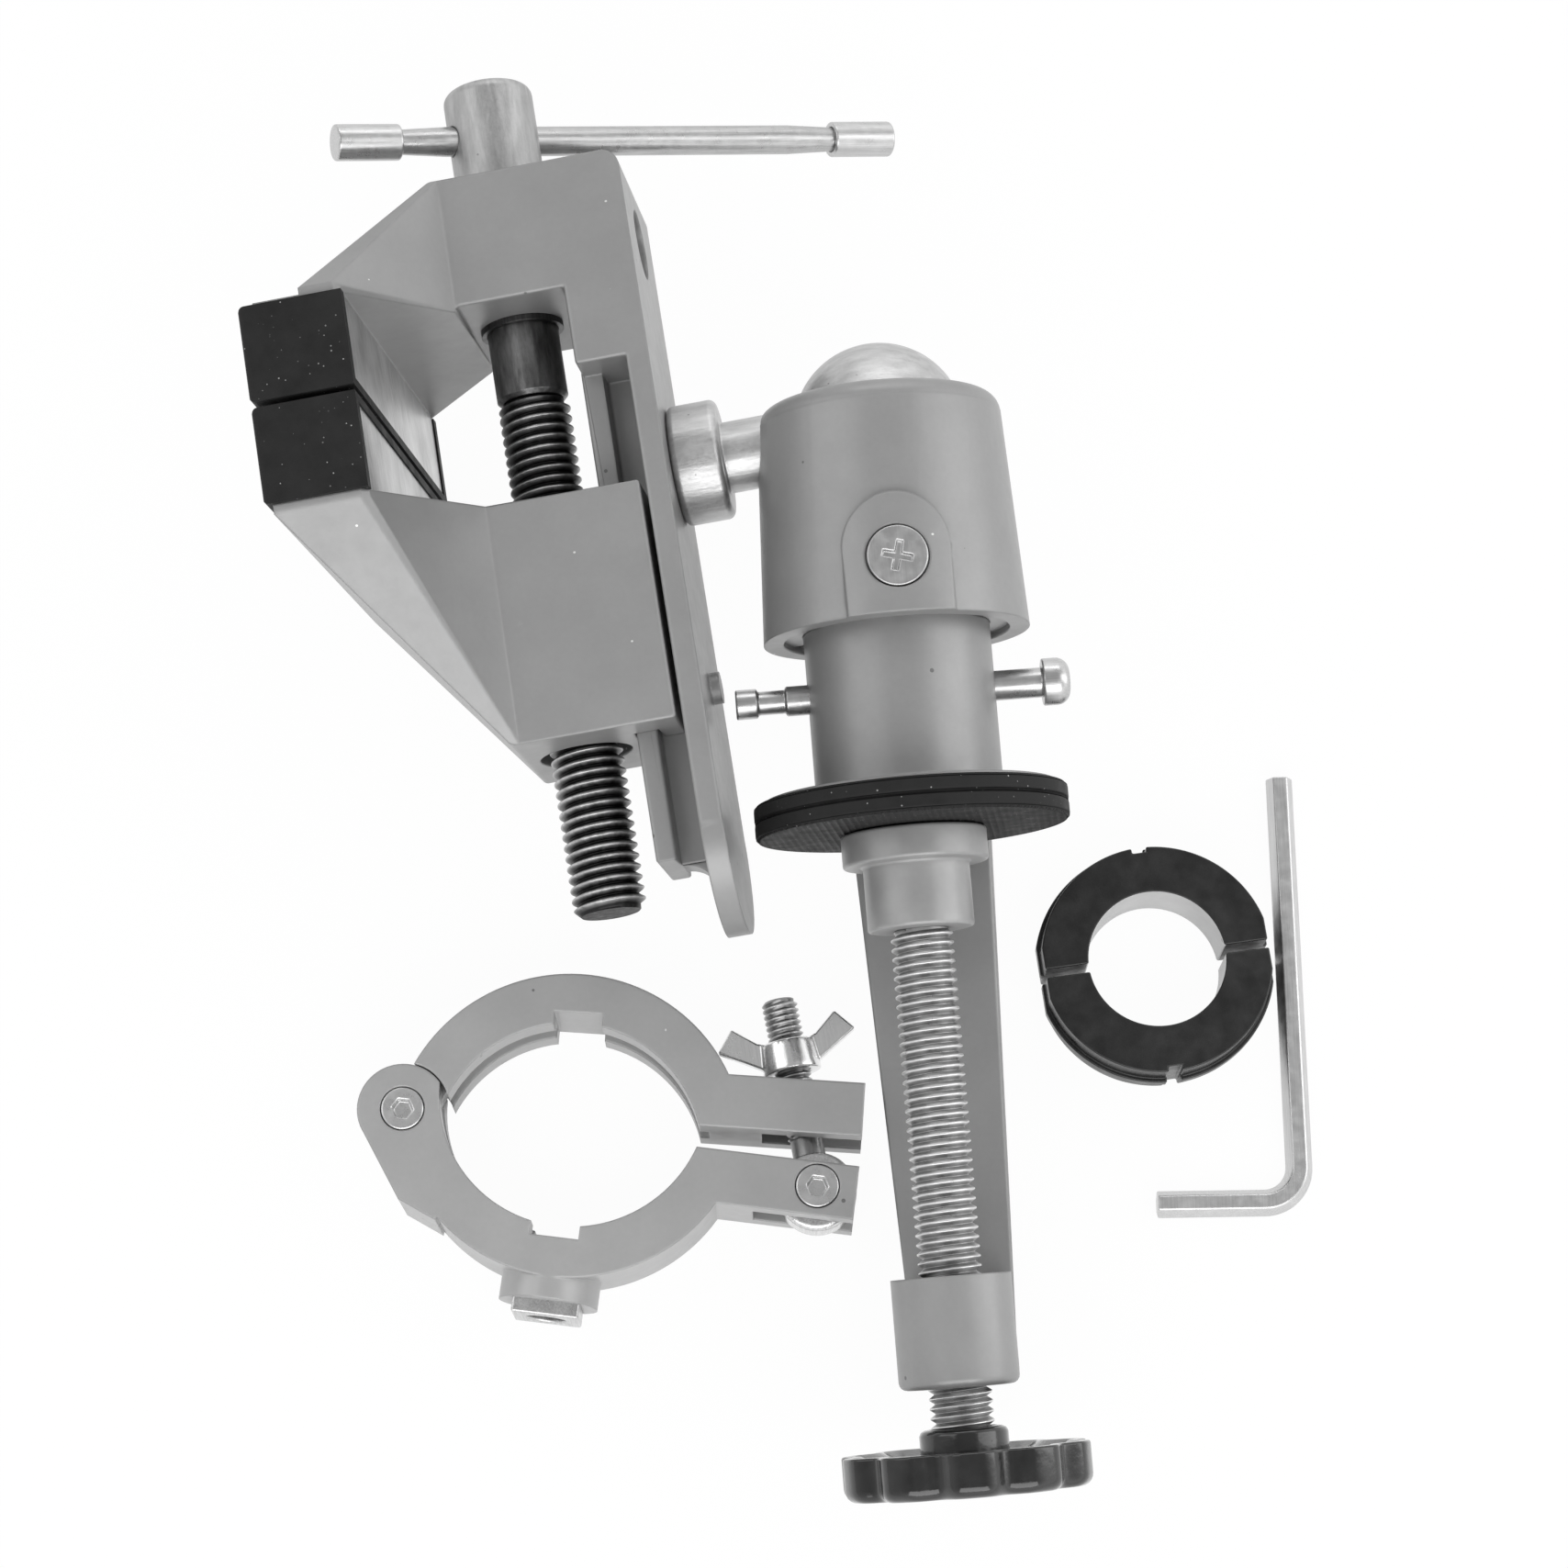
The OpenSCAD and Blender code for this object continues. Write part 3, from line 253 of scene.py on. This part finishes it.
def satin_cast(name, place, low=0.275, high=0.3, edge=0.6):
    """Satin grey paint on a die casting, with a few small pits, chips and scuffs."""
    finish, tree, shader, where = new_finish(name, place, Metallic=0.35, IOR=1.5)
    mottle = cloud(tree, where, per_mm=0.09, detail=3)
    grain = cloud(tree, where, per_mm=1.1, detail=3)
    tone = ramp(tree, mottle, [(0.3, low), (0.7, high)])
    tone = mixed(tree, "OVERLAY", 0.04, tone, ramp(tree, grain, [(0.3, 0.3), (0.7, 0.7)]))
    pits = specks(tree, where, per_mm=0.16, size=0.055, thin=0.62)
    chips = specks(tree, stretched(tree, where, (1.1, 0.8, 1.3)), per_mm=0.15, size=0.035, thin=0.7)
    scuff = ramp(tree, cloud(tree, stretched(tree, where, (0.4, 2.2, 0.9)), per_mm=0.55, detail=6,
                             rough=0.7), [(0.7, 0), (0.76, 1)])
    tone = mixed(tree, "MIX", sums(tree, "MULTIPLY", scuff, 0.12), tone, 0.5)
    tone = mixed(tree, "MIX", sums(tree, "MULTIPLY", chips, 0.8), tone, 0.75)
    tone = mixed(tree, "MIX", sums(tree, "MULTIPLY", pits, 0.7), tone, 0.09)
    tree.links.new(tone, shader.inputs["Base Color"])
    tree.links.new(ramp(tree, cloud(tree, where, per_mm=0.4, detail=3), [(0.3, 0.36), (0.7, 0.42)]),
                   shader.inputs["Roughness"])
    relief(tree, shader, [(mottle, 0.04), (grain, 0.006), (pits, -0.05)], edge)
    return finish


def rough_bright(name, place, low=0.44, high=0.58, rough=0.3):
    """Bright metal as it left the mould, tumbled, with soft flow marks along the frame's z."""
    finish, tree, shader, where = new_finish(name, place, Metallic=1.0)
    flow = cloud(tree, stretched(tree, where, (1.6, 1.6, 0.35)), per_mm=0.4, detail=4, rough=0.6)
    grain = cloud(tree, where, per_mm=2.2, detail=3)
    tone = ramp(tree, flow, [(0.32, low), (0.5, (low + high) / 2), (0.66, high)])
    pits = specks(tree, where, per_mm=0.5, size=0.09, thin=0.7)
    tone = mixed(tree, "OVERLAY", 0.12, tone, grain)
    tree.links.new(mixed(tree, "MIX", sums(tree, "MULTIPLY", pits, 0.5), tone, 0.12),
                   shader.inputs["Base Color"])
    tree.links.new(ramp(tree, grain, [(0.3, rough), (0.7, rough + 0.12)]), shader.inputs["Roughness"])
    relief(tree, shader, [(flow, 0.1), (grain, 0.012), (pits, -0.04)], 0.3)
    return finish


def drawn_bar(name, place, low=0.48, high=0.62, rough=0.24):
    """Bright plated bar with fine marks along the frame's z."""
    finish, tree, shader, where = new_finish(name, place, Metallic=1.0)
    marks = cloud(tree, stretched(tree, where, (4, 4, 0.12)), per_mm=1, detail=4, rough=0.6)
    stains = cloud(tree, where, per_mm=0.5, detail=4, rough=0.6)
    tone = mixed(tree, "OVERLAY", 0.2, ramp(tree, marks, [(0.3, low), (0.7, high)]), stains)
    tree.links.new(tone, shader.inputs["Base Color"])
    tree.links.new(ramp(tree, stains, [(0.3, rough), (0.7, rough + 0.14)]), shader.inputs["Roughness"])
    relief(tree, shader, [(marks, 0.01), (stains, 0.02)], 0.25)
    return finish


def threaded_steel(name, place, radius, depth, root, crest, rough=0.3, stain=0.7):
    """Steel with painted shade in a thread's root and a painted highlight on its crest, round the frame's
    z.
    """
    finish, tree, shader, where = new_finish(name, place, Metallic=1.0)
    flat = stretched(tree, where, (1, 1, 0))
    length = add(tree, "ShaderNodeVectorMath", operation="LENGTH")
    tree.links.new(flat, length.inputs[0])
    height = add(tree, "ShaderNodeMapRange")
    height.inputs["From Min"].default_value = radius - depth
    height.inputs["From Max"].default_value = radius
    tree.links.new(length.outputs["Value"], height.inputs["Value"])
    dirt = cloud(tree, where, per_mm=0.9, detail=4, rough=0.65)
    # Grey set by the radius: painted shade in the thread's root, painted highlight on its crest
    painted_light = ramp(tree, height.outputs[0], [(0.1, root), (0.6, (root + crest) / 3), (0.95, crest)])
    painted_light = mixed(tree, "OVERLAY", stain, painted_light, dirt)
    tree.links.new(painted_light, shader.inputs["Base Color"])
    tree.links.new(ramp(tree, dirt, [(0.3, rough), (0.7, rough + 0.2)]), shader.inputs["Roughness"])
    relief(tree, shader, [(dirt, 0.05)])
    return finish


def dusty_rubber(name, place, low=0.012, high=0.02, hatched_below=None):
    """Black rubber with dust and small moulding marks, cross-hatched below a height if one is given."""
    finish, tree, shader, where = new_finish(name, place, IOR=1.45, Specular_IOR_Level=0.2)
    mottle = cloud(tree, where, per_mm=0.25, detail=5, rough=0.6)
    grain = cloud(tree, where, per_mm=3, detail=2)
    tone = ramp(tree, mottle, [(0.3, low), (0.7, high)])
    dust = sums(tree, "MAXIMUM", specks(tree, where, per_mm=0.6, size=0.08, thin=0.7),
                specks(tree, where, per_mm=1.3, size=0.14, thin=0.8))
    patch = ramp(tree, cloud(tree, where, per_mm=0.16, detail=2), [(0.42, 0.1), (0.6, 1)])
    dust = sums(tree, "MULTIPLY", dust, patch)
    tree.links.new(mixed(tree, "MIX", dust, tone, 0.34), shader.inputs["Base Color"])
    tree.links.new(ramp(tree, mottle, [(0.3, 0.48), (0.7, 0.7)]), shader.inputs["Roughness"])
    heights = [(mottle, 0.05), (grain, 0.015)]
    if hatched_below is not None:
        parts = add(tree, "ShaderNodeSeparateXYZ")
        tree.links.new(where, parts.inputs[0])
        across = sums(tree, "SINE", sums(tree, "MULTIPLY", parts.outputs["X"], HATCH_PER_MM), 0)
        along = sums(tree, "SINE", sums(tree, "MULTIPLY", parts.outputs["Y"], HATCH_PER_MM), 0)
        under = sums(tree, "LESS_THAN", parts.outputs["Z"], hatched_below)
        heights.append((sums(tree, "MULTIPLY", under, sums(tree, "MAXIMUM", across, along)), 0.12))
    relief(tree, shader, heights)
    return finish


def glossy_black(name, place):
    """Shiny moulded plastic of the knob, a little rippled."""
    finish, tree, shader, where = new_finish(name, place, IOR=1.5, Coat_Weight=0.6, Coat_Roughness=0.06)
    ripple = cloud(tree, where, per_mm=0.35, detail=3)
    tree.links.new(ramp(tree, ripple, [(0.3, 0.004), (0.7, 0.01)]), shader.inputs["Base Color"])
    dust = specks(tree, where, per_mm=0.7, size=0.07, thin=0.75)
    tree.links.new(mixed(tree, "MIX", dust, ramp(tree, ripple, [(0.3, 0.12), (0.7, 0.24)]), 0.8),
                   shader.inputs["Roughness"])
    relief(tree, shader, [(ripple, 0.12), (cloud(tree, where, per_mm=2.5, detail=2), 0.01)])
    return finish


def moulded_black(name, place):
    """Black plastic of the bush."""
    finish, tree, shader, where = new_finish(name, place, IOR=1.48)
    mottle = cloud(tree, where, per_mm=0.3, detail=4)
    tree.links.new(ramp(tree, mottle, [(0.3, 0.008), (0.7, 0.018)]), shader.inputs["Base Color"])
    tree.links.new(ramp(tree, mottle, [(0.3, 0.26), (0.7, 0.42)]), shader.inputs["Roughness"])
    relief(tree, shader, [(mottle, 0.12), (cloud(tree, where, per_mm=2, detail=2), 0.015)])
    return finish


def brushed_face(name, place):
    """Bare machined metal, brushed up and down the jaw."""
    finish, tree, shader, where = new_finish(name, place, Metallic=1.0)
    strokes = cloud(tree, stretched(tree, where, (2.5, 2.2, 0.18)), per_mm=1, detail=5, rough=0.65)
    flow = cloud(tree, where, per_mm=0.12, detail=3)
    tone = mixed(tree, "OVERLAY", 0.6, ramp(tree, strokes, [(0.3, 0.42), (0.7, 0.72)]), flow)
    tree.links.new(tone, shader.inputs["Base Color"])
    tree.links.new(ramp(tree, strokes, [(0.3, 0.3), (0.7, 0.5)]), shader.inputs["Roughness"])
    relief(tree, shader, [(strokes, 0.05), (flow, 0.2)])
    return finish


def white_nylon(name, place):
    """Plastic of the seat under the ball."""
    finish, tree, shader, where = new_finish(name, place, Subsurface_Weight=0.1)
    mottle = cloud(tree, where, per_mm=0.4, detail=3)
    tree.links.new(ramp(tree, mottle, [(0.3, 0.74), (0.7, 0.82)]), shader.inputs["Base Color"])
    tree.links.new(ramp(tree, mottle, [(0.3, 0.35), (0.7, 0.45)]), shader.inputs["Roughness"])
    relief(tree, shader, [(mottle, 0.02)])
    return finish


# Ways of making a piece

def settle(bm, name, place, body, finishes, stands_for=(), sharp=42):
    """Sets a finished mesh in the model, shaded smooth up to an angle, and gives it to its body."""
    bmesh.ops.transform(bm, matrix=METRE @ place, verts=bm.verts)
    for face in bm.faces:
        face.smooth = True
    for edge in bm.edges:
        edge.smooth = edge.is_manifold and edge.calc_face_angle(0) < radians(sharp)
    mesh = bpy.data.meshes.new(name)
    bm.to_mesh(mesh)
    bm.free()
    for finish in finishes:
        mesh.materials.append(finish)
    piece = bpy.data.objects.new(name, mesh)
    bpy.context.collection.objects.link(piece)
    even = piece.modifiers.new("even_shading", "WEIGHTED_NORMAL")
    even.keep_sharp = True
    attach(piece, body)
    if stands_for:
        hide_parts(*stands_for)
    return piece


def node_copy(node, place):
    """Copy of a CAD node's mesh in mm in its own frame, its loose triangles joined into faces."""
    bm = bmesh.new()
    bm.from_mesh(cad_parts[node].data)
    bmesh.ops.transform(bm, matrix=(METRE @ place).inverted(), verts=bm.verts)
    bmesh.ops.remove_doubles(bm, verts=bm.verts, dist=0.003)
    bmesh.ops.dissolve_limit(bm, angle_limit=radians(0.4), verts=bm.verts, edges=bm.edges)
    return bm


def round_off(bm, width, over=35, steps=3, where=None, longer=0):
    """Rounds the edges that turn by more than an angle and are longer than a length."""
    corners = []
    for edge in bm.edges:
        if edge.is_manifold and edge.calc_face_angle(0) > radians(over) and edge.calc_length() > longer:
            if where is None or where((edge.verts[0].co + edge.verts[1].co) / 2):
                corners.append(edge)
    bmesh.ops.bevel(bm, geom=corners, offset=width, offset_type="OFFSET", segments=steps,
                    profile=0.5, affect="EDGES", material=-1, clamp_overlap=False)


def turned(outline, steps=96):
    """Lathe work: (radius, height) points turned about z."""
    bm = bmesh.new()
    line = [bm.verts.new((r, 0, z)) for r, z in outline]
    for here, there in zip(line, line[1:]):
        bm.edges.new((here, there))
    bmesh.ops.spin(bm, geom=bm.verts[:] + bm.edges[:], cent=(0, 0, 0), axis=(0, 0, 1),
                   angle=2 * pi, steps=steps, use_merge=True, use_duplicate=False)
    bmesh.ops.remove_doubles(bm, verts=bm.verts, dist=1e-4)
    bmesh.ops.recalc_face_normals(bm, faces=bm.faces)
    return bm


def helix(radius, pitch, low, high, tip=0.8, steps=48):
    """Right-handed thread from a height to another, its ends cut flat and tapered by tip."""
    depth = 0.54 * pitch
    bm = bmesh.new()
    tooth = [(radius - depth, 0), (radius - depth, 0.06), (radius - 0.06 * depth, 0.4), (radius, 0.46),
             (radius, 0.54), (radius - 0.06 * depth, 0.6), (radius - depth, 0.94), (radius - depth, 1)]
    line = [bm.verts.new((r, 0, low + pitch * (share - 1.5))) for r, share in tooth]
    for here, there in zip(line, line[1:]):
        bm.edges.new((here, there))
    bmesh.ops.spin(bm, geom=bm.verts[:] + bm.edges[:], cent=(0, 0, 0), axis=(0, 0, 1),
                   dvec=(0, 0, pitch / steps), angle=2 * pi, steps=steps, use_duplicate=False)
    turns = 1
    while turns < (high - low) / pitch + 3:
        copy = bmesh.ops.duplicate(bm, geom=bm.verts[:] + bm.edges[:] + bm.faces[:])
        bmesh.ops.translate(bm, verts=[v for v in copy["geom"] if isinstance(v, bmesh.types.BMVert)],
                            vec=(0, 0, turns * pitch))
        turns *= 2
    bmesh.ops.remove_doubles(bm, verts=bm.verts, dist=1e-3)
    for height, up in ((low, -1), (high, 1)):
        bmesh.ops.bisect_plane(bm, geom=bm.verts[:] + bm.edges[:] + bm.faces[:], plane_co=(0, 0, height),
                               plane_no=(0, 0, up), clear_outer=True)
        rim = [e for e in bm.edges if e.is_boundary and abs(e.verts[0].co.z - height) < 1e-3
               and abs(e.verts[1].co.z - height) < 1e-3]
        bmesh.ops.holes_fill(bm, edges=rim, sides=0)
    for v in bm.verts:
        over = max(v.co.z - (high - tip), (low + tip) - v.co.z, 0)
        reach = hypot(v.co.x, v.co.y)
        if over and reach > radius - over:
            v.co.xy *= (radius - over) / reach
    bmesh.ops.recalc_face_normals(bm, faces=bm.faces)
    return bm


# Bench clamp

def make_clamp():
    cast = satin_cast("satin_cast_clamp", SPINE)
    boss_rim = -87.7
    casting = node_copy("clamp_frame", SPINE)
    round_off(casting, width=0.7, longer=12)
    round_off(casting, width=1.3, over=50, steps=4, where=lambda middle: middle.z < boss_rim)
    settle(casting, "clamp_casting", SPINE, "clamp", [cast], ["clamp_frame"])

    pad = node_copy("clamp_pad", SPINE)
    round_off(pad, width=0.35)
    settle(pad, "rubber_pad", SPINE, "clamp",
           [dusty_rubber("pad_rubber", SPINE, hatched_below=0.3)], ["clamp_pad"])

    zinc = threaded_steel("zinc_thread", CLAMP, radius=5, depth=0.81, root=0.4, crest=0.74, rough=0.26,
                          stain=0.25)
    screw = helix(radius=5, pitch=1.5, low=-102.2, high=-15.9)
    settle(screw, "clamp_screw_thread", CLAMP, "knob_screw", [zinc], ["clamp_screw"], sharp=60)
    tip = turned([(0, -16.5), (3.8, -16.5), (3.8, -9.5), (5, -9.5), (5, -7.1), (3.8, -7.1), (3.8, -6.6),
                  (0, -6.6)])
    settle(tip, "clamp_screw_tip", CLAMP, "knob_screw", [zinc])

    foot = node_copy("clamp_foot", CLAMP)
    round_off(foot, width=0.45)
    settle(foot, "pressing_foot", CLAMP, "foot",
           [satin_cast("satin_cast_foot", CLAMP, low=0.3, high=0.38)], ["clamp_foot"])

    make_knob()


def make_knob():
    """Ten-lobed plastic knob with a short hub, dished on its outer face."""
    lobes, dent_depth, dent_narrowness = 10, 0.105, 2.2
    knob_r, top, thick, round_r, round_steps = 19.8, -97.3, 6.9, 1.9, 5
    cap_corners = 50
    bm = bmesh.new()
    bmesh.ops.create_circle(bm, cap_ends=True, segments=320, radius=knob_r)
    for v in bm.verts:
        turn = atan2(v.co.y, v.co.x)
        dent = (0.5 + 0.5 * cos(lobes * turn)) ** dent_narrowness
        v.co.xy *= 1 - dent_depth * dent
    bmesh.ops.translate(bm, verts=bm.verts, vec=(0, 0, top - thick + round_r))
    grown = bmesh.ops.extrude_face_region(bm, geom=bm.faces[:])
    bmesh.ops.translate(bm, verts=[v for v in grown["geom"] if isinstance(v, bmesh.types.BMVert)],
                        vec=(0, 0, thick - round_r))
    bmesh.ops.recalc_face_normals(bm, faces=bm.faces)
    # The lower edge is rounded by faces that shrink along a quarter circle
    for step in range(1, round_steps + 1):
        before, after = radians(90 * (step - 1) / round_steps), radians(90 * step / round_steps)
        cap = min((f for f in bm.faces if len(f.verts) > cap_corners),
                  key=lambda f: f.calc_center_median().z)
        grown = bmesh.ops.extrude_face_region(bm, geom=[cap])
        bmesh.ops.delete(bm, geom=[cap], context="FACES_ONLY")
        for v in (v for v in grown["geom"] if isinstance(v, bmesh.types.BMVert)):
            reach = hypot(v.co.x, v.co.y)
            v.co.xy *= 1 - round_r * (cos(before) - cos(after)) / reach
            v.co.z -= round_r * (sin(after) - sin(before))
    round_off(bm, width=0.4, over=50, steps=2, where=lambda middle: middle.z > top - 0.1)
    caps = sorted((f for f in bm.faces if len(f.verts) > cap_corners),
                  key=lambda f: f.calc_center_median().z)
    bmesh.ops.inset_region(bm, faces=[caps[0]], thickness=1.2)
    bmesh.ops.inset_region(bm, faces=[caps[0]], thickness=0.8, depth=-0.6)
    bmesh.ops.inset_region(bm, faces=[caps[-1]], thickness=1.1)
    bmesh.ops.inset_region(bm, faces=[caps[-1]], thickness=1.4, depth=-0.8)
    black = glossy_black("glossy_knob", CLAMP)
    settle(bm, "knob", CLAMP, "knob_screw", [black], ["clamp_knob"], sharp=50)
    hub = turned([(0, top - 1), (7.0, top - 1), (7.0, top + 2.3), (6.7, top + 2.9), (6.1, top + 3.2),
                  (5.3, top + 3.3), (5.02, top + 3.1), (5.02, top)])
    settle(hub, "knob_hub", CLAMP, "knob_screw", [black], (), sharp=50)


# Ball column

def make_column():
    neck, screw_z, cross_turn = 32, 40.4, 22
    cast = satin_cast("satin_cast_column", CLAMP)
    column = node_copy("lock_column", CLAMP)
    round_off(column, width=0.3, over=50, steps=2, where=lambda middle: middle.z < neck)
    settle(column, "lock_column_casting", CLAMP, "column", [cast], ["lock_column"])

    bar = node_copy("lever_bar", LEVER)
    round_off(bar, width=0.3, over=50)
    settle(bar, "lever_turned", LEVER, "lever", [drawn_bar("lever_steel", LEVER)], ["lever_bar"])

    sleeve = node_copy("ball_sleeve", CLAMP)
    round_off(sleeve, width=0.4, over=55, longer=3)
    settle(sleeve, "sleeve_casting", CLAMP, "sleeve", [satin_cast("satin_cast_sleeve", CLAMP)],
           ["ball_sleeve"])

    for side in ("front", "back"):
        screw = node_copy("sleeve_screw_" + side, CLAMP)
        bmesh.ops.rotate(screw, verts=screw.verts, cent=(0, 0, screw_z),
                         matrix=Matrix.Rotation(radians(cross_turn), 3, "Y"))
        round_off(screw, width=0.25, over=50)
        steel = drawn_bar("sleeve_screw_steel_" + side, CLAMP, low=0.5, high=0.57, rough=0.3)
        settle(screw, "cross_screw_" + side, CLAMP, "sleeve", [steel], ["sleeve_screw_" + side])

    ball = node_copy("ball_stud", STEM)
    round_off(ball, width=0.4, over=50)
    settle(ball, "ball_and_stem", STEM, "ball",
           [rough_bright("ball_metal", STEM, low=0.46, high=0.6, rough=0.36)], ["ball_stud"], sharp=60)


# Vise head

def make_head():
    inside, lip_front, lip_back, cover_front = -70, -77.7, -76.9, -86
    cast = satin_cast("satin_cast_head", HEAD)
    bare = brushed_face("brushed_lip", HEAD)
    for node, body in (("fixed_jaw", "head"), ("moving_jaw", "slider")):
        jaw = node_copy(node, HEAD)
        round_off(jaw, width=0.5, over=30, where=lambda middle: middle.x > inside, longer=5)
        for face in jaw.faces:
            middle = face.calc_center_median()
            if lip_front < middle.x < lip_back and abs(face.normal.x) > 0.8:
                face.material_index = 1
        settle(jaw, node + "_casting", HEAD, body, [cast, bare], [node])
        cover = node_copy(node + "_cover", HEAD)
        round_off(cover, width=1.1, over=50, steps=4, where=lambda middle: middle.x < cover_front)
        rubber = dusty_rubber(node + "_rubber", HEAD)
        settle(cover, node + "_rubber_cover", HEAD, body, [rubber], [node + "_cover"])

    # Hollow curve from the rail's lower end to the plate
    fillet_r, half_web, front, end = 5, 3, -37.2, -65.5
    foot = bmesh.new()
    corner = foot.verts.new((front, -half_web, end))
    bmesh.ops.spin(foot, geom=[foot.verts.new((front - fillet_r, -half_web, end))],
                   cent=(front - fillet_r, 0, end - fillet_r), axis=(0, 1, 0), angle=pi / 2, steps=12)
    rim = sorted((v for v in foot.verts if v is not corner), key=lambda v: v.co.x)
    face = foot.faces.new([corner] + rim[::-1])
    grown = bmesh.ops.extrude_face_region(foot, geom=[face])
    bmesh.ops.translate(foot, verts=[v for v in grown["geom"] if isinstance(v, bmesh.types.BMVert)],
                        vec=(0, 2 * half_web, 0))
    bmesh.ops.recalc_face_normals(foot, faces=foot.faces)
    settle(foot, "rail_foot", HEAD, "head", [cast])

    thread_top, shoulder, head_low = 15.3, 49.96, 51
    dark = threaded_steel("dark_thread", LEAD, radius=5.9, depth=0.945, root=0.03, crest=0.5, rough=0.3)
    screw = helix(radius=5.9, pitch=1.75, low=-70.6, high=thread_top, tip=1.2)
    settle(screw, "lead_screw_thread", LEAD, "lead", [dark], ["lead_screw"], sharp=60)
    journal = turned([(0, 15.2), (5.2, 15.2), (5.85, 15.9), (5.85, 50.0), (0, 50.0)])
    blackened = rough_bright("journal_steel", LEAD, low=0.1, high=0.24)
    settle(journal, "lead_screw_journal", LEAD, "lead", [blackened])
    knob = node_copy("lead_screw", LEAD)
    bmesh.ops.bisect_plane(knob, geom=knob.verts[:] + knob.edges[:] + knob.faces[:],
                           plane_co=(0, 0, shoulder),
                           plane_no=(0, 0, -1), clear_outer=True)
    bmesh.ops.holes_fill(knob, edges=[e for e in knob.edges if e.is_boundary], sides=0)
    round_off(knob, width=0.35, over=40, where=lambda middle: middle.z > head_low)
    settle(knob, "lead_screw_head", LEAD, "lead",
           [rough_bright("screw_head_metal", LEAD, low=0.36, high=0.5, rough=0.42)])

    bar = node_copy("handle_bar", HANDLE)
    settle(bar, "handle_bar_turned", HANDLE, "handle",
           [drawn_bar("handle_steel", HANDLE, low=0.4, high=0.54)], ["handle_bar"])
    ends = node_copy("handle_ends", HANDLE)
    round_off(ends, width=0.35, over=50)
    settle(ends, "handle_end_collars", HANDLE, "handle", [drawn_bar("handle_end_steel", HANDLE)],
           ["handle_ends"])


# Loose kit pieces

def make_kit():
    cast = satin_cast("satin_cast_collar", COLLAR, low=0.38, high=0.41)
    for node, place, body in (("collar_lower", COLLAR, "clamp"),
                              ("collar_upper", COLLAR_OPEN, "collar_half")):
        half = node_copy(node, place)
        settle(half, node + "_casting", place, body, [cast], [node])
    pin_steel = drawn_bar("pin_steel", COLLAR, low=0.62, high=0.7, rough=0.24)
    for node in ("collar_hinge_pin", "swing_pin"):
        pin = node_copy(node, COLLAR)
        round_off(pin, width=0.3, over=50)
        settle(pin, node + "_turned", COLLAR, "clamp", [pin_steel], [node])

    bolt_steel = threaded_steel("bolt_thread", BOLT, radius=3, depth=0.54, root=0.25, crest=0.6,
                                rough=0.25, stain=0.4)
    settle(helix(radius=3, pitch=1, low=9, high=33, tip=0.6, steps=32), "swing_bolt_thread", BOLT, "bolt",
           [bolt_steel], ["swing_bolt"], sharp=60)
    shank = turned([(0, 5.5), (2.7, 5.5), (2.7, 9.2), (0, 9.2)], steps=48)
    settle(shank, "swing_bolt_shank", BOLT, "bolt", [bolt_steel])
    eye = turned([(2.05, -3.8), (5.4, -3.8), (6.2, -3.4), (6.5, -2.4), (6.5, 2.4), (6.2, 3.4),
                  (5.4, 3.8), (2.05, 3.8), (2.05, -3.8)], steps=64)
    settle(eye, "swing_bolt_eye", SWING, "bolt",
           [drawn_bar("eye_steel", SWING, low=0.5, high=0.75, rough=0.15)])

    wing = node_copy("wing_nut", WING)
    round_off(wing, width=0.4, over=40)
    settle(wing, "wing_nut_plated", WING, "nut",
           [drawn_bar("plated_wing", WING, low=0.8, high=0.88, rough=0.16)], ["wing_nut"])

    nut = node_copy("boss_nut", COLLAR)
    round_off(nut, width=0.4, over=50)
    settle(nut, "square_nut", COLLAR, "clamp",
           [drawn_bar("nut_steel", COLLAR, low=0.45, high=0.7, rough=0.25)], ["boss_nut"])

    plastic = moulded_black("bush_plastic", BUSH)
    # Light grey finish on the bore faces of the black bush: a painted reflection of the bright
    # surroundings
    painted_light = satin_cast("bush_bore", BUSH, low=0.46, high=0.56, edge=0.2)
    bore_reach = 12.2
    for node in ("bush_upper", "bush_lower"):
        half = node_copy(node, BUSH)
        round_off(half, width=0.3, over=40)
        for face in half.faces:
            if face.calc_center_median().xy.length < bore_reach and abs(face.normal.z) < 0.3:
                face.material_index = 1
        settle(half, node + "_moulding", BUSH, "clamp", [plastic, painted_light], [node])

    key = node_copy("hex_key", KEY)
    round_off(key, width=0.25, over=40, steps=2)
    nickel = drawn_bar("nickel_key", KEY @ placed((0, 0, 0), (90, 0, 0)), low=0.56, high=0.7, rough=0.28)
    settle(key, "hex_key_bent", KEY, "clamp", [nickel], ["hex_key"])


def dress_hidden_nodes():
    """The CAD nodes that keep their own shape."""
    finishes = {
        "swivel_stud": drawn_bar("stud_steel", CLAMP),
        "sleeve_ring": satin_cast("satin_cast_ring", CLAMP, low=0.3, high=0.34, edge=0.3),
        "ball_seat": white_nylon("seat_nylon", CLAMP),
        "retaining_ring": drawn_bar("retaining_ring_steel", LEAD, low=0.05, high=0.1, rough=0.3),
    }
    for node, finish in finishes.items():
        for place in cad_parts[node].material_slots:
            place.material = finish


set_camera()
light_studio()
lay_floor()
bpy.context.scene.view_settings.view_transform = "Standard"
make_clamp()
make_column()
make_head()
make_kit()
dress_hidden_nodes()
